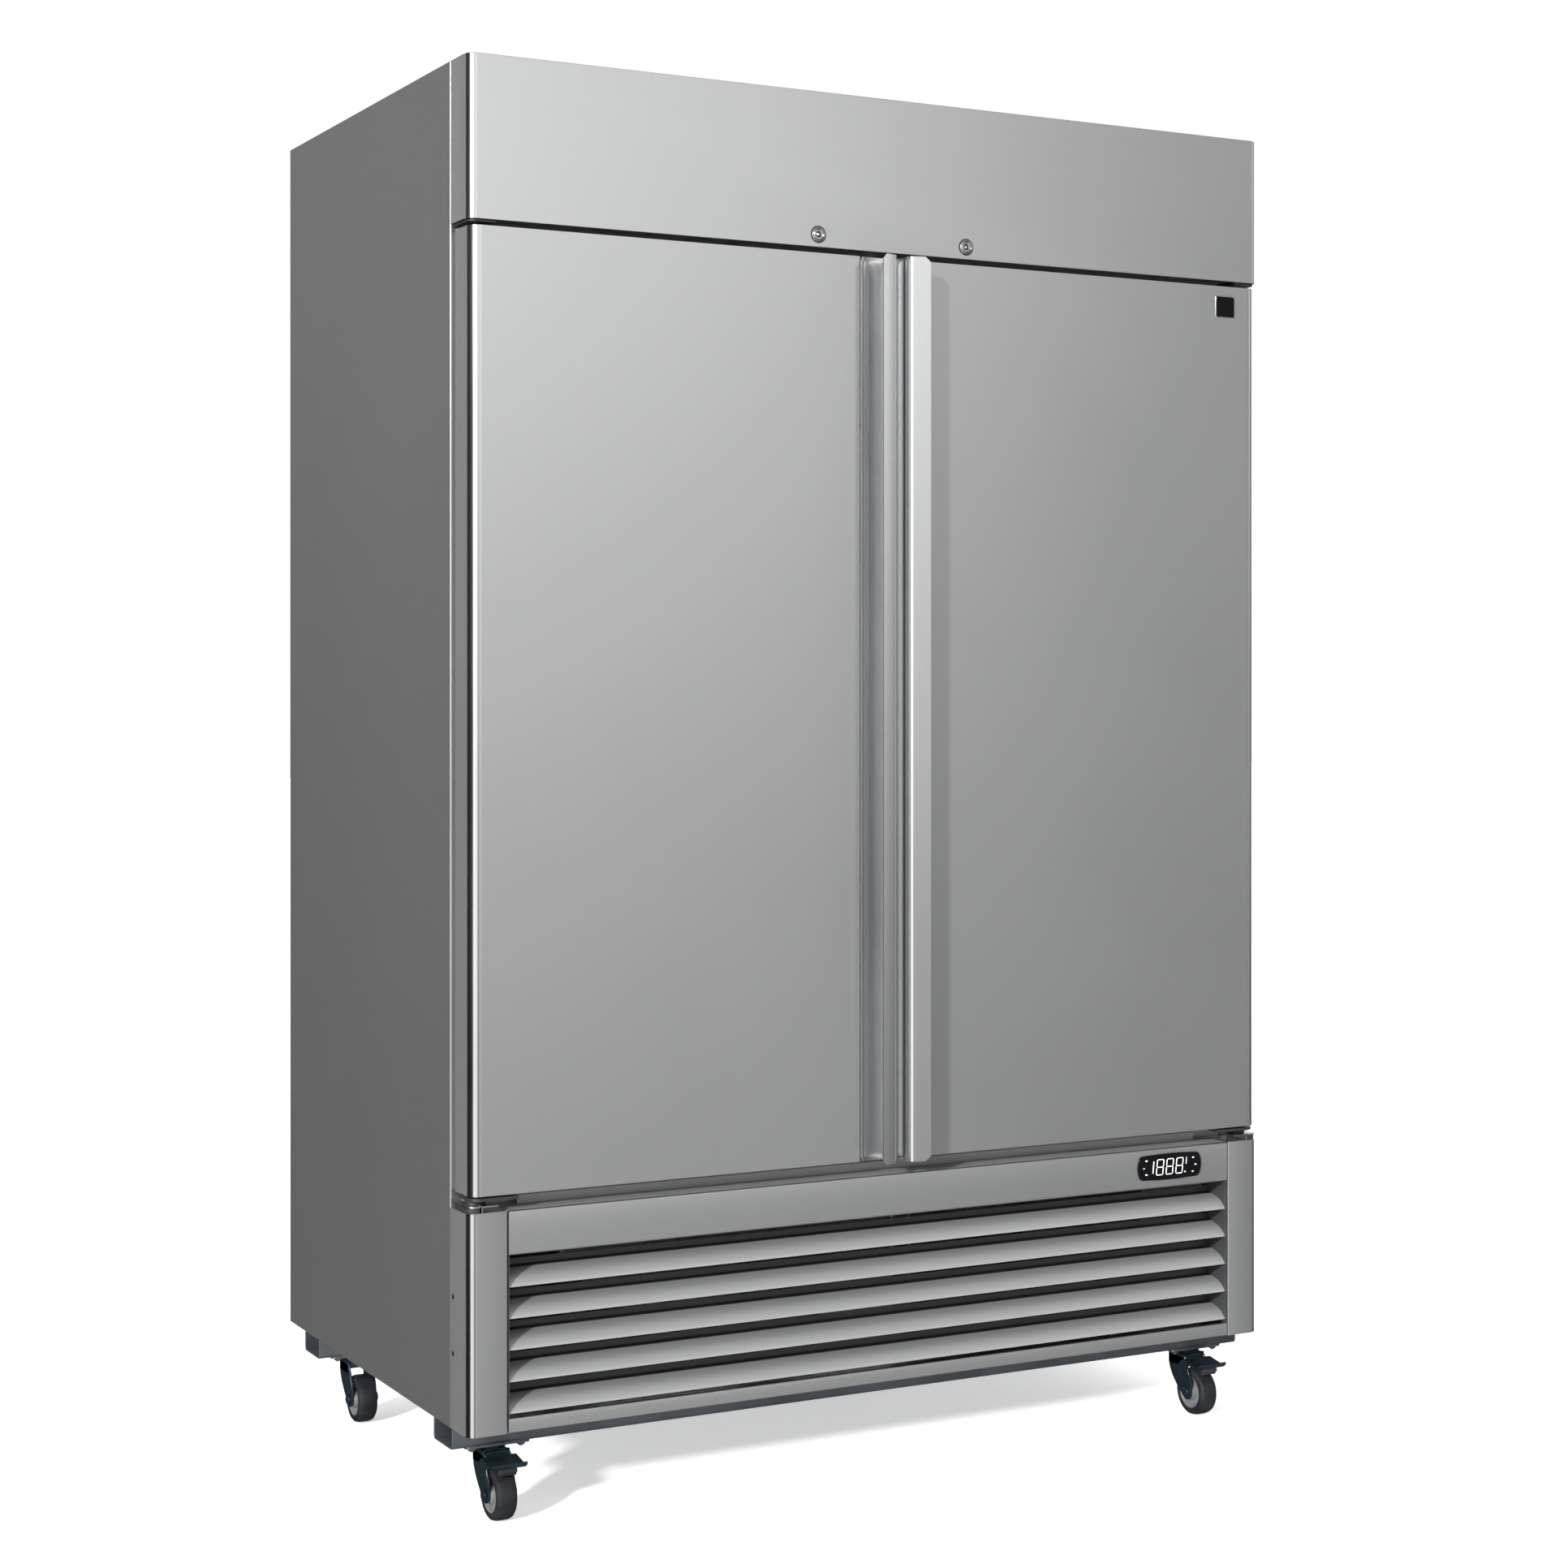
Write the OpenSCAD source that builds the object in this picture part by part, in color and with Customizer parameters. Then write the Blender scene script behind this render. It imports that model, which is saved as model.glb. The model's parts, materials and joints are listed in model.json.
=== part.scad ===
// Two-section reach-in refrigerator on casters, bottom-mounted cooling system.
// Millimetres. X to the right, Y towards the back, Z up. The origin is on the
// floor, under the middle of the whole object's box.

/* [Cabinet] */
// Width over the side panels
cab_w = 1384; // [1340:1:1420]
// Depth from the front of the doors to the back panel
cab_d = 815; // [795:1:840]
// Height from the floor to the top panel
cab_h = 2096; // [2080:1:2120]
// Height of the cabinet's floor panel
base_z = 141; // [139:1:146]
// Thickness of the outer sheet metal
sheet = 1.2; // [1:0.1:1.5]
// Thickness of the insulated walls
wall = 55; // [52:1:60]
// Radius of the header's and the posts' vertical corners
corner_r = 15; // [12:1:18]

/* [Doors] */
// Height of the doors' lower edge
door_z0 = 480; // [478:1:484]
// Height of the doors' upper edge
door_z1 = 1854; // [1850:1:1856]
// Thickness of a door, without its gasket
door_t = 61; // [59:1:62]
// Gap between the two doors
door_gap = 6; // [5:0.5:8]
// Radius of a door's outer vertical corner
door_r = 18; // [15:1:20]
// How far a handle blade stands in front of its door
handle_out = 43; // [41:1:44]
// Width of a handle extrusion, from the door gap's middle
handle_w = 58; // [56:1:60]

/* [Header and lower front] */
// Height of the header panel's lower edge
header_z = 1862; // [1861:1:1864]
// Height of the ledge on top of the lower front
ledge_z = 457; // [455:1:458]
// Width of the corner posts
post_w = 60.5; // [58:0.5:62]
// Height of the fascia's lower edge
fascia_z = 394; // [392:1:396]
// Height of the lower rail's upper edge
rail_z = 162; // [160:1:164]
// Number of louvers
louvers = 5; // [4:1:5]
// Distance from one louver to the next
louver_pitch = 45; // [44:1:45]

/* [Running gear] */
// Radius of a caster wheel
wheel_r = 38; // [37:0.5:38]
// Width of a caster wheel
wheel_w = 32; // [28:1:33]
// Height of a channel's lower face
channel_z = 110; // [109:1:111]
// Distance from a wheel's axle to its swivel axis
trail = 31; // [30:1:32]

/* [Inside] */
// Number of shelves in each section
shelves = 3; // [2:1:3]
// Height of the lowest shelf
shelf_z0 = 840; // [820:5:860]
// Distance from one shelf to the next
shelf_step = 330; // [300:5:340]
// Radius of an evaporator fan
fan_r = 80; // [70:1:82]

/* [Hidden] */
$fn = 64;

// planes across the depth
y_front = -(cab_d - handle_out) / 2;   // front of the doors, header and posts
y_face = y_front + 70;                 // the face that the gaskets close against
y_back = y_front + cab_d;              // outside of the back panel
hw = cab_w / 2;
in_x = hw - sheet;                     // inside of a side panel

// the insulated box
deck_z = 445;                          // underside of the insulated floor
floor_z = deck_z + wall + 6;           // inside floor
ceil_z = cab_h - wall - 1;             // inside ceiling
cav_x = hw - wall;                     // inside of the left and right walls
cav_y = y_back - wall - 1;             // inside of the back wall
open_z = 1830;                         // top of the door openings
seam = 0.5;                            // half the seam between foam slabs
liner_t = 1;
mullion_w = 60;
mullion_d = 52;
strip_t = 1.5;                         // face strips and grille sheet

// door hinges: pivot, measured from the cabinet's corner
pivot_in = 23;
pivot_back = 31;
pivot_x = -hw + pivot_in;
pivot_y = y_front + pivot_back;
door_x0 = -hw + 4;                     // outer edge of the left door
door_x1 = -door_gap / 2;               // free edge of the left door
blade_tip = 42.3;                      // handle blade's tip, from the door gap's middle
pin_low_r = 7;
pin_top_r = 5;
run = 0.05;                            // radial clearance of pins and shafts

// running gear
swivel_x = hw - 74;
channel_w = 75;
channel_ys = [y_front + 61, y_front + 659];
swivel_ys = [for (y = channel_ys) y + channel_w / 2];
plate_z = channel_z - 4;               // underside of a caster's top plate
fork_z = plate_z - 6;                  // top of a caster's fork, under its ball race
axle_r = 5;
kingpin_r = 6;

// locks, display and fans
lock_x = 130;
lock_z = 1881;
lock_r = 8;
display_at = [513.5, 427.5];
display_size = [124, 42];
cond_fan_at = [300, -196, 285];
cond_fan_r = 118;
evap_fan_x = 270;
evap_fan_y = 138;
evap_fan_z = 1950;
shaft_r = 4;

// ---- helpers ----

// Draws the left-hand piece, or its mirror image on the right.
module sided(right) {
    if (right) mirror([1, 0, 0]) children();
    else children();
}

// A box from its lowest to its highest corner.
module block(p, q) {
    translate(p) cube(q - p);
}

// A cylinder along Y or along X, starting at p.
module rod_y(p, r, l, f = 64) {
    translate(p) rotate([-90, 0, 0]) cylinder(r = r, h = l, $fn = f);
}
module rod_x(p, r, l, f = 64) {
    translate(p) rotate([0, 90, 0]) cylinder(r = r, h = l, $fn = f);
}

// Plan of a block whose corner at (x0, y0) is rounded.
module corner_plan(x0, x1, y0, y1, r) {
    translate([x0, y0 + r]) square([x1 - x0, y1 - y0 - r]);
    translate([x0 + r, y0]) square([x1 - x0 - r, r]);
    translate([x0 + r, y0 + r]) circle(r);
}

// Plan of a wide block with both front corners rounded.
module front_plan(half, y0, y1, r) {
    translate([-half, y0 + r]) square([2 * half, y1 - y0 - r]);
    translate([-half + r, y0]) square([2 * (half - r), r]);
    for (s = [-1, 1]) translate([s * (half - r), y0 + r]) circle(r);
}

// A flat outline with all corners rounded, centred.
module rounded(w, h, r) {
    square([w - 2 * r, h], center = true);
    square([w, h - 2 * r], center = true);
    for (x = [-1, 1]) for (y = [-1, 1])
        translate([x * (w / 2 - r), y * (h / 2 - r)]) circle(r);
}

// Raises a plan from z0 to z1.
module rise(z0, z1) {
    translate([0, 0, z0]) linear_extrude(z1 - z0) children();
}

// Draws a (y, z) outline along X from x0 to x1.
module along_x(x0, x1) {
    translate([x0, 0, 0]) rotate([90, 0, 90]) linear_extrude(x1 - x0) children();
}

// Draws an (x, z) outline backwards along Y from y0 to y1.
module along_y(y0, y1) {
    translate([0, y1, 0]) rotate([90, 0, 0]) linear_extrude(y1 - y0) children();
}

function arc(c, r, a0, a1, n = 6) =
    [for (i = [0 : n]) c + r * [cos(a0 + (a1 - a0) * i / n), sin(a0 + (a1 - a0) * i / n)]];

// ---- outer shell ----

module side_panel(right) {
    color([0.62, 0.63, 0.64]) sided(right) rise(base_z, cab_h) difference() {
        corner_plan(-hw, -hw + 30, y_face, y_back, 3);
        translate([-in_x, y_face + sheet]) square([30, y_back - y_face]);
    }
}

module back_panel() {
    color([0.7, 0.71, 0.72])
        block([-in_x, y_back - sheet, deck_z + 1.5], [in_x, y_back, cab_h]);
}

module top_panel() {
    color([0.7, 0.71, 0.72])
        block([-in_x, y_face + sheet, cab_h - sheet], [in_x, y_back - sheet, cab_h]);
}

// Foam slabs between the outer sheets and the liner, and over the door openings.
module insulation() {
    y0 = y_face + strip_t + 0.2;
    y1 = y_back - sheet - 0.3;
    z0 = deck_z + 1.7;
    z1 = cab_h - sheet - 0.3;
    outer_x = in_x - 0.3;
    slab_x = cav_x + liner_t + seam;
    color([0.93, 0.86, 0.62]) {
        for (right = [false, true]) sided(right)
            block([-outer_x, y0, z0], [-slab_x, y1, z1]);
        block([-cav_x, y0, z0], [cav_x, y1, floor_z - liner_t - seam]);
        block([-cav_x, y0, ceil_z + liner_t + seam], [cav_x, y1, z1]);
        block([-cav_x, cav_y + liner_t + seam, floor_z], [cav_x, y1, ceil_z]);
        block([-cav_x + 1, y0, open_z + 1.5], [cav_x - 1, y_face + mullion_d, ceil_z - 1]);
    }
}

module inner_liner() {
    color([0.84, 0.85, 0.86]) {
        difference() {
            block([-cav_x - liner_t, y_face + 2, floor_z - liner_t],
                  [cav_x + liner_t, cav_y + liner_t, ceil_z + liner_t]);
            block([-cav_x, y_face - 1, floor_z], [cav_x, cav_y, ceil_z]);
        }
        // lining behind the insulated panel over the doors
        block([-cav_x + 1, y_face + mullion_d + 0.2, open_z + 1],
              [cav_x - 1, y_face + mullion_d + 1.2, ceil_z - 1]);
    }
}

// Four strips around the door openings, which the gaskets close against.
module face_frame() {
    edge_x = hw - 30;
    y1 = y_face + strip_t;
    color([0.8, 0.81, 0.82]) {
        for (right = [false, true]) sided(right)
            block([-edge_x, y_face, floor_z + 0.2], [-cav_x, y1, open_z - 0.2]);
        block([-edge_x, y_face, ledge_z], [edge_x, y1, floor_z]);
        block([-edge_x, y_face, open_z], [edge_x, y1, cab_h - sheet - 0.3]);
    }
}

module center_mullion() {
    color([0.8, 0.81, 0.82])
        block([-mullion_w / 2, y_face, floor_z + 0.2],
              [mullion_w / 2, y_face + mullion_d, open_z - 0.2]);
}

module header_panel() {
    t = sheet;
    color([0.75, 0.76, 0.77]) difference() {
        rise(header_z, cab_h) front_plan(hw, y_front, y_face, corner_r);
        rise(header_z + t, cab_h - t) front_plan(hw - t, y_front + t, y_face + 1, corner_r - t);
        for (s = [-1, 1]) rod_y([s * lock_x, y_front - 1, lock_z], 11.2, 4);
    }
}

// ---- lower front ----

module corner_post(right) {
    t = sheet;
    x1 = -hw + post_w;
    color([0.72, 0.73, 0.74]) sided(right) difference() {
        rise(base_z, ledge_z) corner_plan(-hw, x1, y_front, y_face, corner_r);
        rise(base_z - 1, ledge_z - t)
            corner_plan(-hw + t, x1 - t, y_front + t, y_face + 1, corner_r - t);
    }
}

// Fascia with its ledge and the raised sill under the doors, lower rail and the two
// cheeks that hold the louvers.
module grille_frame() {
    t = strip_t;
    x = hw - post_w - 2;
    color([0.72, 0.73, 0.74]) difference() {
        union() {
            block([-x, y_front, fascia_z], [x, y_front + t, ledge_z]);
            block([-x, y_front, ledge_z - t], [x, y_face, ledge_z]);
            block([-x + 32, y_front + 49, ledge_z - t], [x - 32, y_face, ledge_z + 13]);
            block([-x, y_front, fascia_z], [x, y_front + 12, fascia_z + t]);
            block([-x, y_front, base_z], [x, y_front + t, rail_z]);
            block([-x, y_front, rail_z - t], [x, y_front + 12, rail_z]);
            block([-x, y_front, base_z], [x, y_face, base_z + t]);
            for (s = [0, 1]) mirror([s, 0, 0])
                block([-x, y_front, base_z], [-x + t, y_front + 46, ledge_z]);
        }
        translate([display_at[0], 0, display_at[1]])
            block([-57, y_front - 1, -17], [57, y_front + 5, 17]);
    }
}

module grille_louvers() {
    x = hw - post_w - 2 - strip_t;
    slat = [[4, -15], [4, -18], [5.6, -18], [5.6, -15.7], [13.6, -8.1], [27.3, -2.2],
            [40.8, 1.3], [54.3, 1.8], [54.3, 13], [52.8, 13], [52.8, 3.4], [40.5, 3], [27, -0.5],
            [13, -6.5]];
    color([0.7, 0.71, 0.72]) for (i = [0 : louvers - 1])
        along_x(-x, x) translate([y_front, fascia_z - 29 - i * louver_pitch]) polygon(slat);
}

// Radius of an arc over a chord, from how far the arc stands out.
function bulge_r(chord, bulge) = (chord * chord / 4 + bulge * bulge) / (2 * bulge);

// Outline with four bulging sides: 5 mm at the ends, 2 mm at top and bottom.
function bezel_outline(w, h) = let (
    cx = w / 2 - 5,
    cy = h / 2 - 2,
    long_r = bulge_r(2 * cx, 2),
    short_r = bulge_r(2 * cy, 5),
    long_a = asin((cx - 3) / long_r),
    short_a = asin((cy - 3) / short_r)
) concat(
    arc([w / 2 - short_r, 0], short_r, -short_a, short_a, 10),
    arc([0, h / 2 - long_r], long_r, 90 - long_a, 90 + long_a, 16),
    arc([short_r - w / 2, 0], short_r, 180 - short_a, 180 + short_a, 10),
    arc([0, long_r - h / 2], long_r, 270 - long_a, 270 + long_a, 16)
);

// Bezel in front of a flat electronics case.
module display_module() {
    color([0.05, 0.05, 0.06]) translate([display_at[0], 0, display_at[1]]) {
        along_y(y_front - 3, y_front) polygon(bezel_outline(display_size[0], display_size[1]));
        block([-56, y_front, -16], [56, y_front + 28, 16]);
    }
}

module rear_grille() {
    x = in_x;
    z0 = base_z + sheet;
    slot_w = 300;
    y1 = y_back - 14;
    color([0.45, 0.46, 0.47]) along_y(y1 - sheet, y1) difference() {
        translate([-x, z0]) square([2 * x, deck_z - z0]);
        for (f = [-1, 0, 1]) for (i = [0 : 6])
            translate([f * 400 - slot_w / 2, z0 + 90 + i * 26]) square([slot_w, 9]);
        translate([560, z0 + 45]) circle(9.2);
    }
}

// Bushing where the supply cord goes in.
module cord_gland() {
    y1 = y_back - 14;
    color([0.1, 0.1, 0.1]) translate([560, 0, base_z + sheet + 45]) difference() {
        union() {
            rod_y([0, y1 - 22, 0], 9, 24);
            rod_y([0, y1, 0], 15, 4);
            rod_y([0, y1 + 3.5, 0], 10, 8);
            rod_y([0, y1 - 8, 0], 14, 6.5, 6);
        }
        rod_y([0, y1 - 30, 0], 5, 60);
    }
}

// ---- base ----

module base_channels() {
    t = 3;
    color([0.5, 0.51, 0.52]) for (y = channel_ys) difference() {
        block([-hw, y, channel_z], [hw, y + channel_w, base_z]);
        block([-hw - 1, y + t, channel_z + t], [hw + 1, y + channel_w - t, base_z + 1]);
    }
}

// Floor of the machine compartment and the deck under the insulated floor.
module base_panels() {
    color([0.6, 0.61, 0.62]) {
        block([-in_x, y_face + sheet, base_z], [in_x, y_back - sheet, base_z + sheet]);
        block([-in_x, y_face + strip_t, deck_z], [in_x, y_back - sheet, deck_z + 1.4]);
    }
}

// ---- casters ----

// Places a caster's pieces: fixed plate, fork, wheel and pedal are drawn round
// the swivel axis at (0, 0), with the floor at z = 0.
module at_caster(right, rear) {
    translate([(right ? 1 : -1) * swivel_x, swivel_ys[rear ? 1 : 0], 0]) children();
}

module caster_plate() {
    difference() {
        rise(plate_z, channel_z) rounded(100, 62, 6);
        translate([0, 0, plate_z - 1]) cylinder(r = 3, h = 1.5);
    }
    translate([0, 0, fork_z - 12]) cylinder(r = kingpin_r, h = plate_z - fork_z + 13);
    translate([0, 0, fork_z - 16]) cylinder(r = 10, h = 6.5, $fn = 6);
    for (x = [-38, 38]) for (y = [-22, 22])
        translate([x, y, plate_z - 4]) cylinder(r = 6.5, h = 4.5, $fn = 6);
}

module caster_plates() {
    color([0.55, 0.6, 0.68]) for (right = [false, true]) for (rear = [false, true])
        at_caster(right, rear) caster_plate();
}

module caster_fork(right, rear, braked) {
    leg = [[18, fork_z], [18, 80], [9, 60], [-6, 42], [-20, 27], [-40, 27], [-44, 45],
           [-24, fork_z]];
    color([0.55, 0.6, 0.68]) at_caster(right, rear) difference() {
        union() {
            for (s = [0, 1]) mirror([s, 0, 0]) along_x(18, 21) polygon(leg);
            block([-21, -24, fork_z - 4], [21, 18, fork_z]);
            block([-21, -24, fork_z - 12], [21, -21.5, fork_z]);
            translate([0, 0, fork_z - 1]) cylinder(r = 22, h = plate_z - fork_z + 0.7);
            rod_x([-24, -trail, wheel_r], axle_r, 48);
            for (x = [-26, 21]) rod_x([x, -trail, wheel_r], 8.5, 5, 6);
            if (braked) rod_x([-26, -22, 80], 3, 52);
        }
        translate([0, 0, fork_z - 20]) cylinder(r = kingpin_r + run, h = 40);
    }
}

module caster_wheel(right, rear) {
    w = wheel_w / 2;
    crown = [
        [axle_r + run, -w - 1.4], [13, -w - 1.4], [14, -w + 5], [26, -w + 5], [27, -w],
        [wheel_r - 3, -w], [wheel_r, -w + 5], [wheel_r, w - 5], [wheel_r - 3, w],
        [27, w], [26, w - 5], [14, w - 5], [13, w + 1.4], [axle_r + run, w + 1.4]
    ];
    color([0.25, 0.26, 0.28]) at_caster(right, rear)
        translate([0, -trail, wheel_r]) rotate([0, 90, 0]) rotate_extrude() polygon(crown);
}

module brake_pedal(right) {
    tread = [[-30, 88.5], [-30, 92], [-58, 86.6], [-66, 84.8], [-70, 86.8], [-72, 84.6],
             [-67, 81], [-58, 83.2]];
    ear = [[-44, 89], [-44, 84], [-32, 76], [-22, 73], [-15, 76], [-15, 84], [-22, 88],
           [-30, 91.5]];
    color([0.55, 0.6, 0.68]) at_caster(right, false) difference() {
        union() {
            along_x(-25, 25) polygon(tread);
            for (s = [0, 1]) mirror([s, 0, 0])
                along_x(21.5, 25) polygon(ear);
        }
        rod_x([-40, -22, 80], 3 + run, 80);
    }
}

// ---- doors ----

module door_skin(right) {
    t = sheet;
    y1 = y_front + door_t - 1.5;
    color([0.78, 0.79, 0.8]) sided(right) difference() {
        rise(door_z0, door_z1) corner_plan(door_x0, -handle_w, y_front, y1, door_r);
        rise(door_z0 + t, door_z1 - t)
            corner_plan(door_x0 + t, -handle_w + 1, y_front + t, y1 + 1, door_r - t);
        translate([pivot_x, pivot_y, door_z0 - 1]) cylinder(r = 16.5, h = 3);
        translate([pivot_x, pivot_y, door_z1 - 2]) cylinder(r = 14.5, h = 3);
    }
}

module door_foam(right) {
    y1 = y_front + door_t - 1.8;
    x1 = -handle_w - 1;
    color([0.93, 0.86, 0.62]) sided(right) difference() {
        rise(door_z0 + 1.5, door_z1 - 1.5) {
            corner_plan(door_x0 + 1.5, x1, y_front + 1.5, y1, door_r - 1.5);
            translate([x1 - 1, y_front + 9]) square([handle_w - door_gap / 2 - 7, y1 - y_front - 9]);
        }
        translate([pivot_x, pivot_y, door_z0 - 1]) cylinder(r = 16.5, h = 22.5);
        translate([pivot_x, pivot_y, door_z1 - 21.5]) cylinder(r = 14.5, h = 22.5);
    }
}

// Inner face of a door.
module door_liner(right) {
    y1 = y_front + door_t;
    color([0.84, 0.85, 0.86]) sided(right)
        block([door_x0, y1 - 1.5, door_z0 + 0.2], [door_x1 - 5.2, y1, door_z1 - 0.2]);
}

module door_gasket(right) {
    y0 = y_front + door_t;
    y1 = y_face - 0.5;
    w = 20;
    x0 = -hw + 28;
    x1 = -8;
    z0 = door_z0 + 7;
    z1 = door_z1 - 7;
    color([0.12, 0.12, 0.13]) sided(right) along_y(y0, y1) difference() {
        translate([x0, z0]) square([x1 - x0, z1 - z0]);
        translate([x0 + w, z0 + w]) square([x1 - x0 - 2 * w, z1 - z0 - 2 * w]);
    }
}

// Section of the left handle: u is measured from the middle of the door gap, away
// from it; v is measured forwards from the door's front.
function handle_section() = let (g = door_gap / 2, o = handle_out, tip = blade_tip) concat(
    [[g, -door_t], [g, -2]],
    arc([g - 19.8, 15.7], 26.6, -41.8, 8.2, 6),
    arc([g + 18.8, o - 20.7], 12.8, 193, 116, 5),
    [[tip - 0.8, o], [tip, o - 1.4], [tip - 0.8, o - 2.8]],
    arc([g + 17, o - 15], 4, 100, 175, 4),
    arc([g + 24.5, 4.3], 10.5, 180, 264, 5),
    [[g + 40, -6.2]],
    [[handle_w, -0.8], [handle_w, -8], [g + 5, -8], [g + 5, -door_t]]
);

module door_handle(right) {
    cut = 10;
    color([0.8, 0.81, 0.82]) sided(right) difference() {
        rise(door_z0, door_z1)
            polygon([for (p = handle_section()) [-p[0], y_front - p[1]]]);
        // the blade's tip is cut across at both ends
        for (end = [[door_z0, 1], [door_z1, -1]])
            along_y(y_front - handle_out - 1, y_front - 12) translate([-blade_tip - 1, end[0]])
                polygon([[-1, -end[1]], [cut + 1, -end[1]], [-1, end[1] * (cut + 1)]]);
    }
}

// Bushes in the door's corners that turn on the brackets' pins, and the plate under
// the lower corner.
module hinge_bushes(right) {
    color([0.2, 0.2, 0.21]) sided(right) difference() {
        union() {
            translate([pivot_x, pivot_y, door_z0 - 6.8]) cylinder(r = 16, h = 26.8);
            translate([pivot_x, pivot_y, door_z1 - 20]) cylinder(r = 14, h = 20);
            rise(door_z0 - 6.8, door_z0 - 2.3)
                corner_plan(door_x0 + 1, door_x0 + 74, y_front + 1, y_front + 50, door_r);
        }
        translate([pivot_x, pivot_y, door_z0 - 10]) cylinder(r = pin_low_r + run, h = 40);
        translate([pivot_x, pivot_y, door_z1 - 30]) cylinder(r = pin_top_r + run, h = 40);
    }
}

// Lower bracket: a steel plate with a slit and a leg, on a spacer at the corner, with
// the spring cartridge and the lower pin. Upper bracket, under the header, with its pin.
module hinge_brackets(right) {
    plate_top = ledge_z + 10;
    top_t = 3.4;
    color([0.16, 0.16, 0.17]) sided(right) {
        difference() {
            union() {
                rise(ledge_z, plate_top - 2)
                    corner_plan(-hw + 1.5, -hw + 19, y_front + 1.5, y_front + 55, 13.5);
                rise(plate_top - 2.4, plate_top)
                    corner_plan(-hw + 0.3, -hw + 47, y_front + 0.3, y_front + 55, 14.7);
                block([-hw + 21.5, y_front + 0.6, ledge_z], [-hw + 23, y_front + 55, plate_top - 1]);
                translate([pivot_x, pivot_y, plate_top - 1]) cylinder(r = 15, h = 6.5);
                translate([pivot_x, pivot_y, plate_top]) cylinder(r = pin_low_r, h = 30);
            }
            block([-hw + 19, y_front - 1, ledge_z + 3], [-hw + 21.5, y_front + 9, plate_top + 1]);
        }
        rise(header_z - top_t, header_z)
            corner_plan(-hw + 3, -hw + 44, y_front + 3, y_face - 1, 13);
        translate([pivot_x, pivot_y, door_z1 - 18])
            cylinder(r = pin_top_r, h = header_z - door_z1 + 17);
    }
}

// ---- locks ----

module lock_bodies() {
    color([0.75, 0.75, 0.76]) for (s = [-1, 1]) translate([s * lock_x, 0, lock_z]) difference() {
        union() {
            rod_y([0, y_front - 2.2, 0], 12.2, 2.2);
            rod_y([0, y_front - 0.5, 0], 11, 24.5);
        }
        rod_y([0, y_front - 5, 0], lock_r + run, 40);
    }
}

// Turning barrel with its round keyway and, behind it, the locking cam.
module lock_cylinder(right) {
    color([0.7, 0.7, 0.71]) sided(right) translate([-lock_x, 0, lock_z]) difference() {
        union() {
            rod_y([0, y_front - 1.6, 0], lock_r, 28.6);
            block([-5, y_front + 24.3, -6], [5, y_front + 27, 22]);
        }
        difference() {
            rod_y([0, y_front - 5, 0], 4.6, 8);
            rod_y([0, y_front - 6, 0], 2.4, 10);
        }
        block([-1, y_front - 5, 4], [1, y_front + 3, 6.2]);
    }
}

// ---- cooling system ----

module compressor() {
    r = 84;
    foot_z = 158;
    color([0.08, 0.08, 0.09]) translate([-390, 180, 0]) {
        translate([0, 0, foot_z]) cylinder(r = r, h = 110);
        translate([0, 0, foot_z + 109.9]) rotate_extrude()
            polygon(concat([[0, 0]], arc([r - 40, 0], 40, 0, 90, 8), [[0, 40]]));
        block([-110, -75, foot_z], [110, 75, foot_z + 4]);
        for (x = [-96, 96]) for (y = [-61, 61])
            translate([x, y, base_z + sheet]) cylinder(r = 11, h = foot_z - base_z - sheet + 2);
    }
}

// Finned block between two end plates, with the return bends of its tube.
module coil(size, rows) {
    pitch = size[2] / rows;
    block([0, 0, 0], size);
    for (x = [-3, size[0]]) block([x, -4, -4], [x + 3, size[1] + 4, size[2] + 4]);
    for (i = [0 : rows - 2]) translate([size[0] + 2.5, size[1] / 2, pitch * (i + 1)])
        rotate([90, 0, 0]) rotate_extrude(angle = 360) translate([pitch / 2 - 5, 0]) circle(3.5);
}

module condenser_coil() {
    color([0.6, 0.45, 0.3]) translate([80, y_face + 20, 170]) coil([440, 44, 230], 8);
}

module condenser_shroud() {
    y0 = y_face + 68;
    at = cond_fan_at;
    color([0.55, 0.56, 0.57]) {
        difference() {
            union() {
                block([76, y0, 158], [524, y0 + 1.5, 412]);
                rod_y([at[0], y0, at[2]], cond_fan_r + 5, 30, 96);
            }
            rod_y([at[0], y0 - 1, at[2]], cond_fan_r + 3, 40, 96);
        }
        // motor on a cross bar behind the fan
        translate([at[0], 0, at[2]]) {
            rod_y([0, at[1] + 22, 0], 38, 60);
            rod_y([0, at[1] - 14, 0], shaft_r, 37);
        }
        block([at[0] - 12, at[1] + 60, base_z + sheet], [at[0] + 12, at[1] + 76, 250]);
        block([at[0] - 30, at[1] + 40, base_z + sheet], [at[0] + 30, at[1] + 76, base_z + sheet + 3]);
    }
}

// Fan that blows along Y: a bored hub and tilted blades.
module fan(r, hub_r, depth, blades) {
    difference() {
        union() {
            rod_y([0, -depth / 2, 0], hub_r, depth);
            for (i = [0 : blades - 1]) rotate([0, i * 360 / blades, 0])
                translate([hub_r - 3, 0, 0]) rotate([32, 0, 0])
                    block([0, -1.2, -hub_r * 0.8], [r - hub_r + 1, 1.2, hub_r * 0.8]);
        }
        rod_y([0, -depth, 0], shaft_r + run, 2 * depth);
    }
}

module condenser_fan() {
    color([0.75, 0.76, 0.77]) translate(cond_fan_at) fan(cond_fan_r - 8, 26, 26, 5);
}

module evaporator_coil() {
    color([0.75, 0.76, 0.77]) translate([-480, 240, 1872]) coil([960, 70, 140], 5);
}

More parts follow.
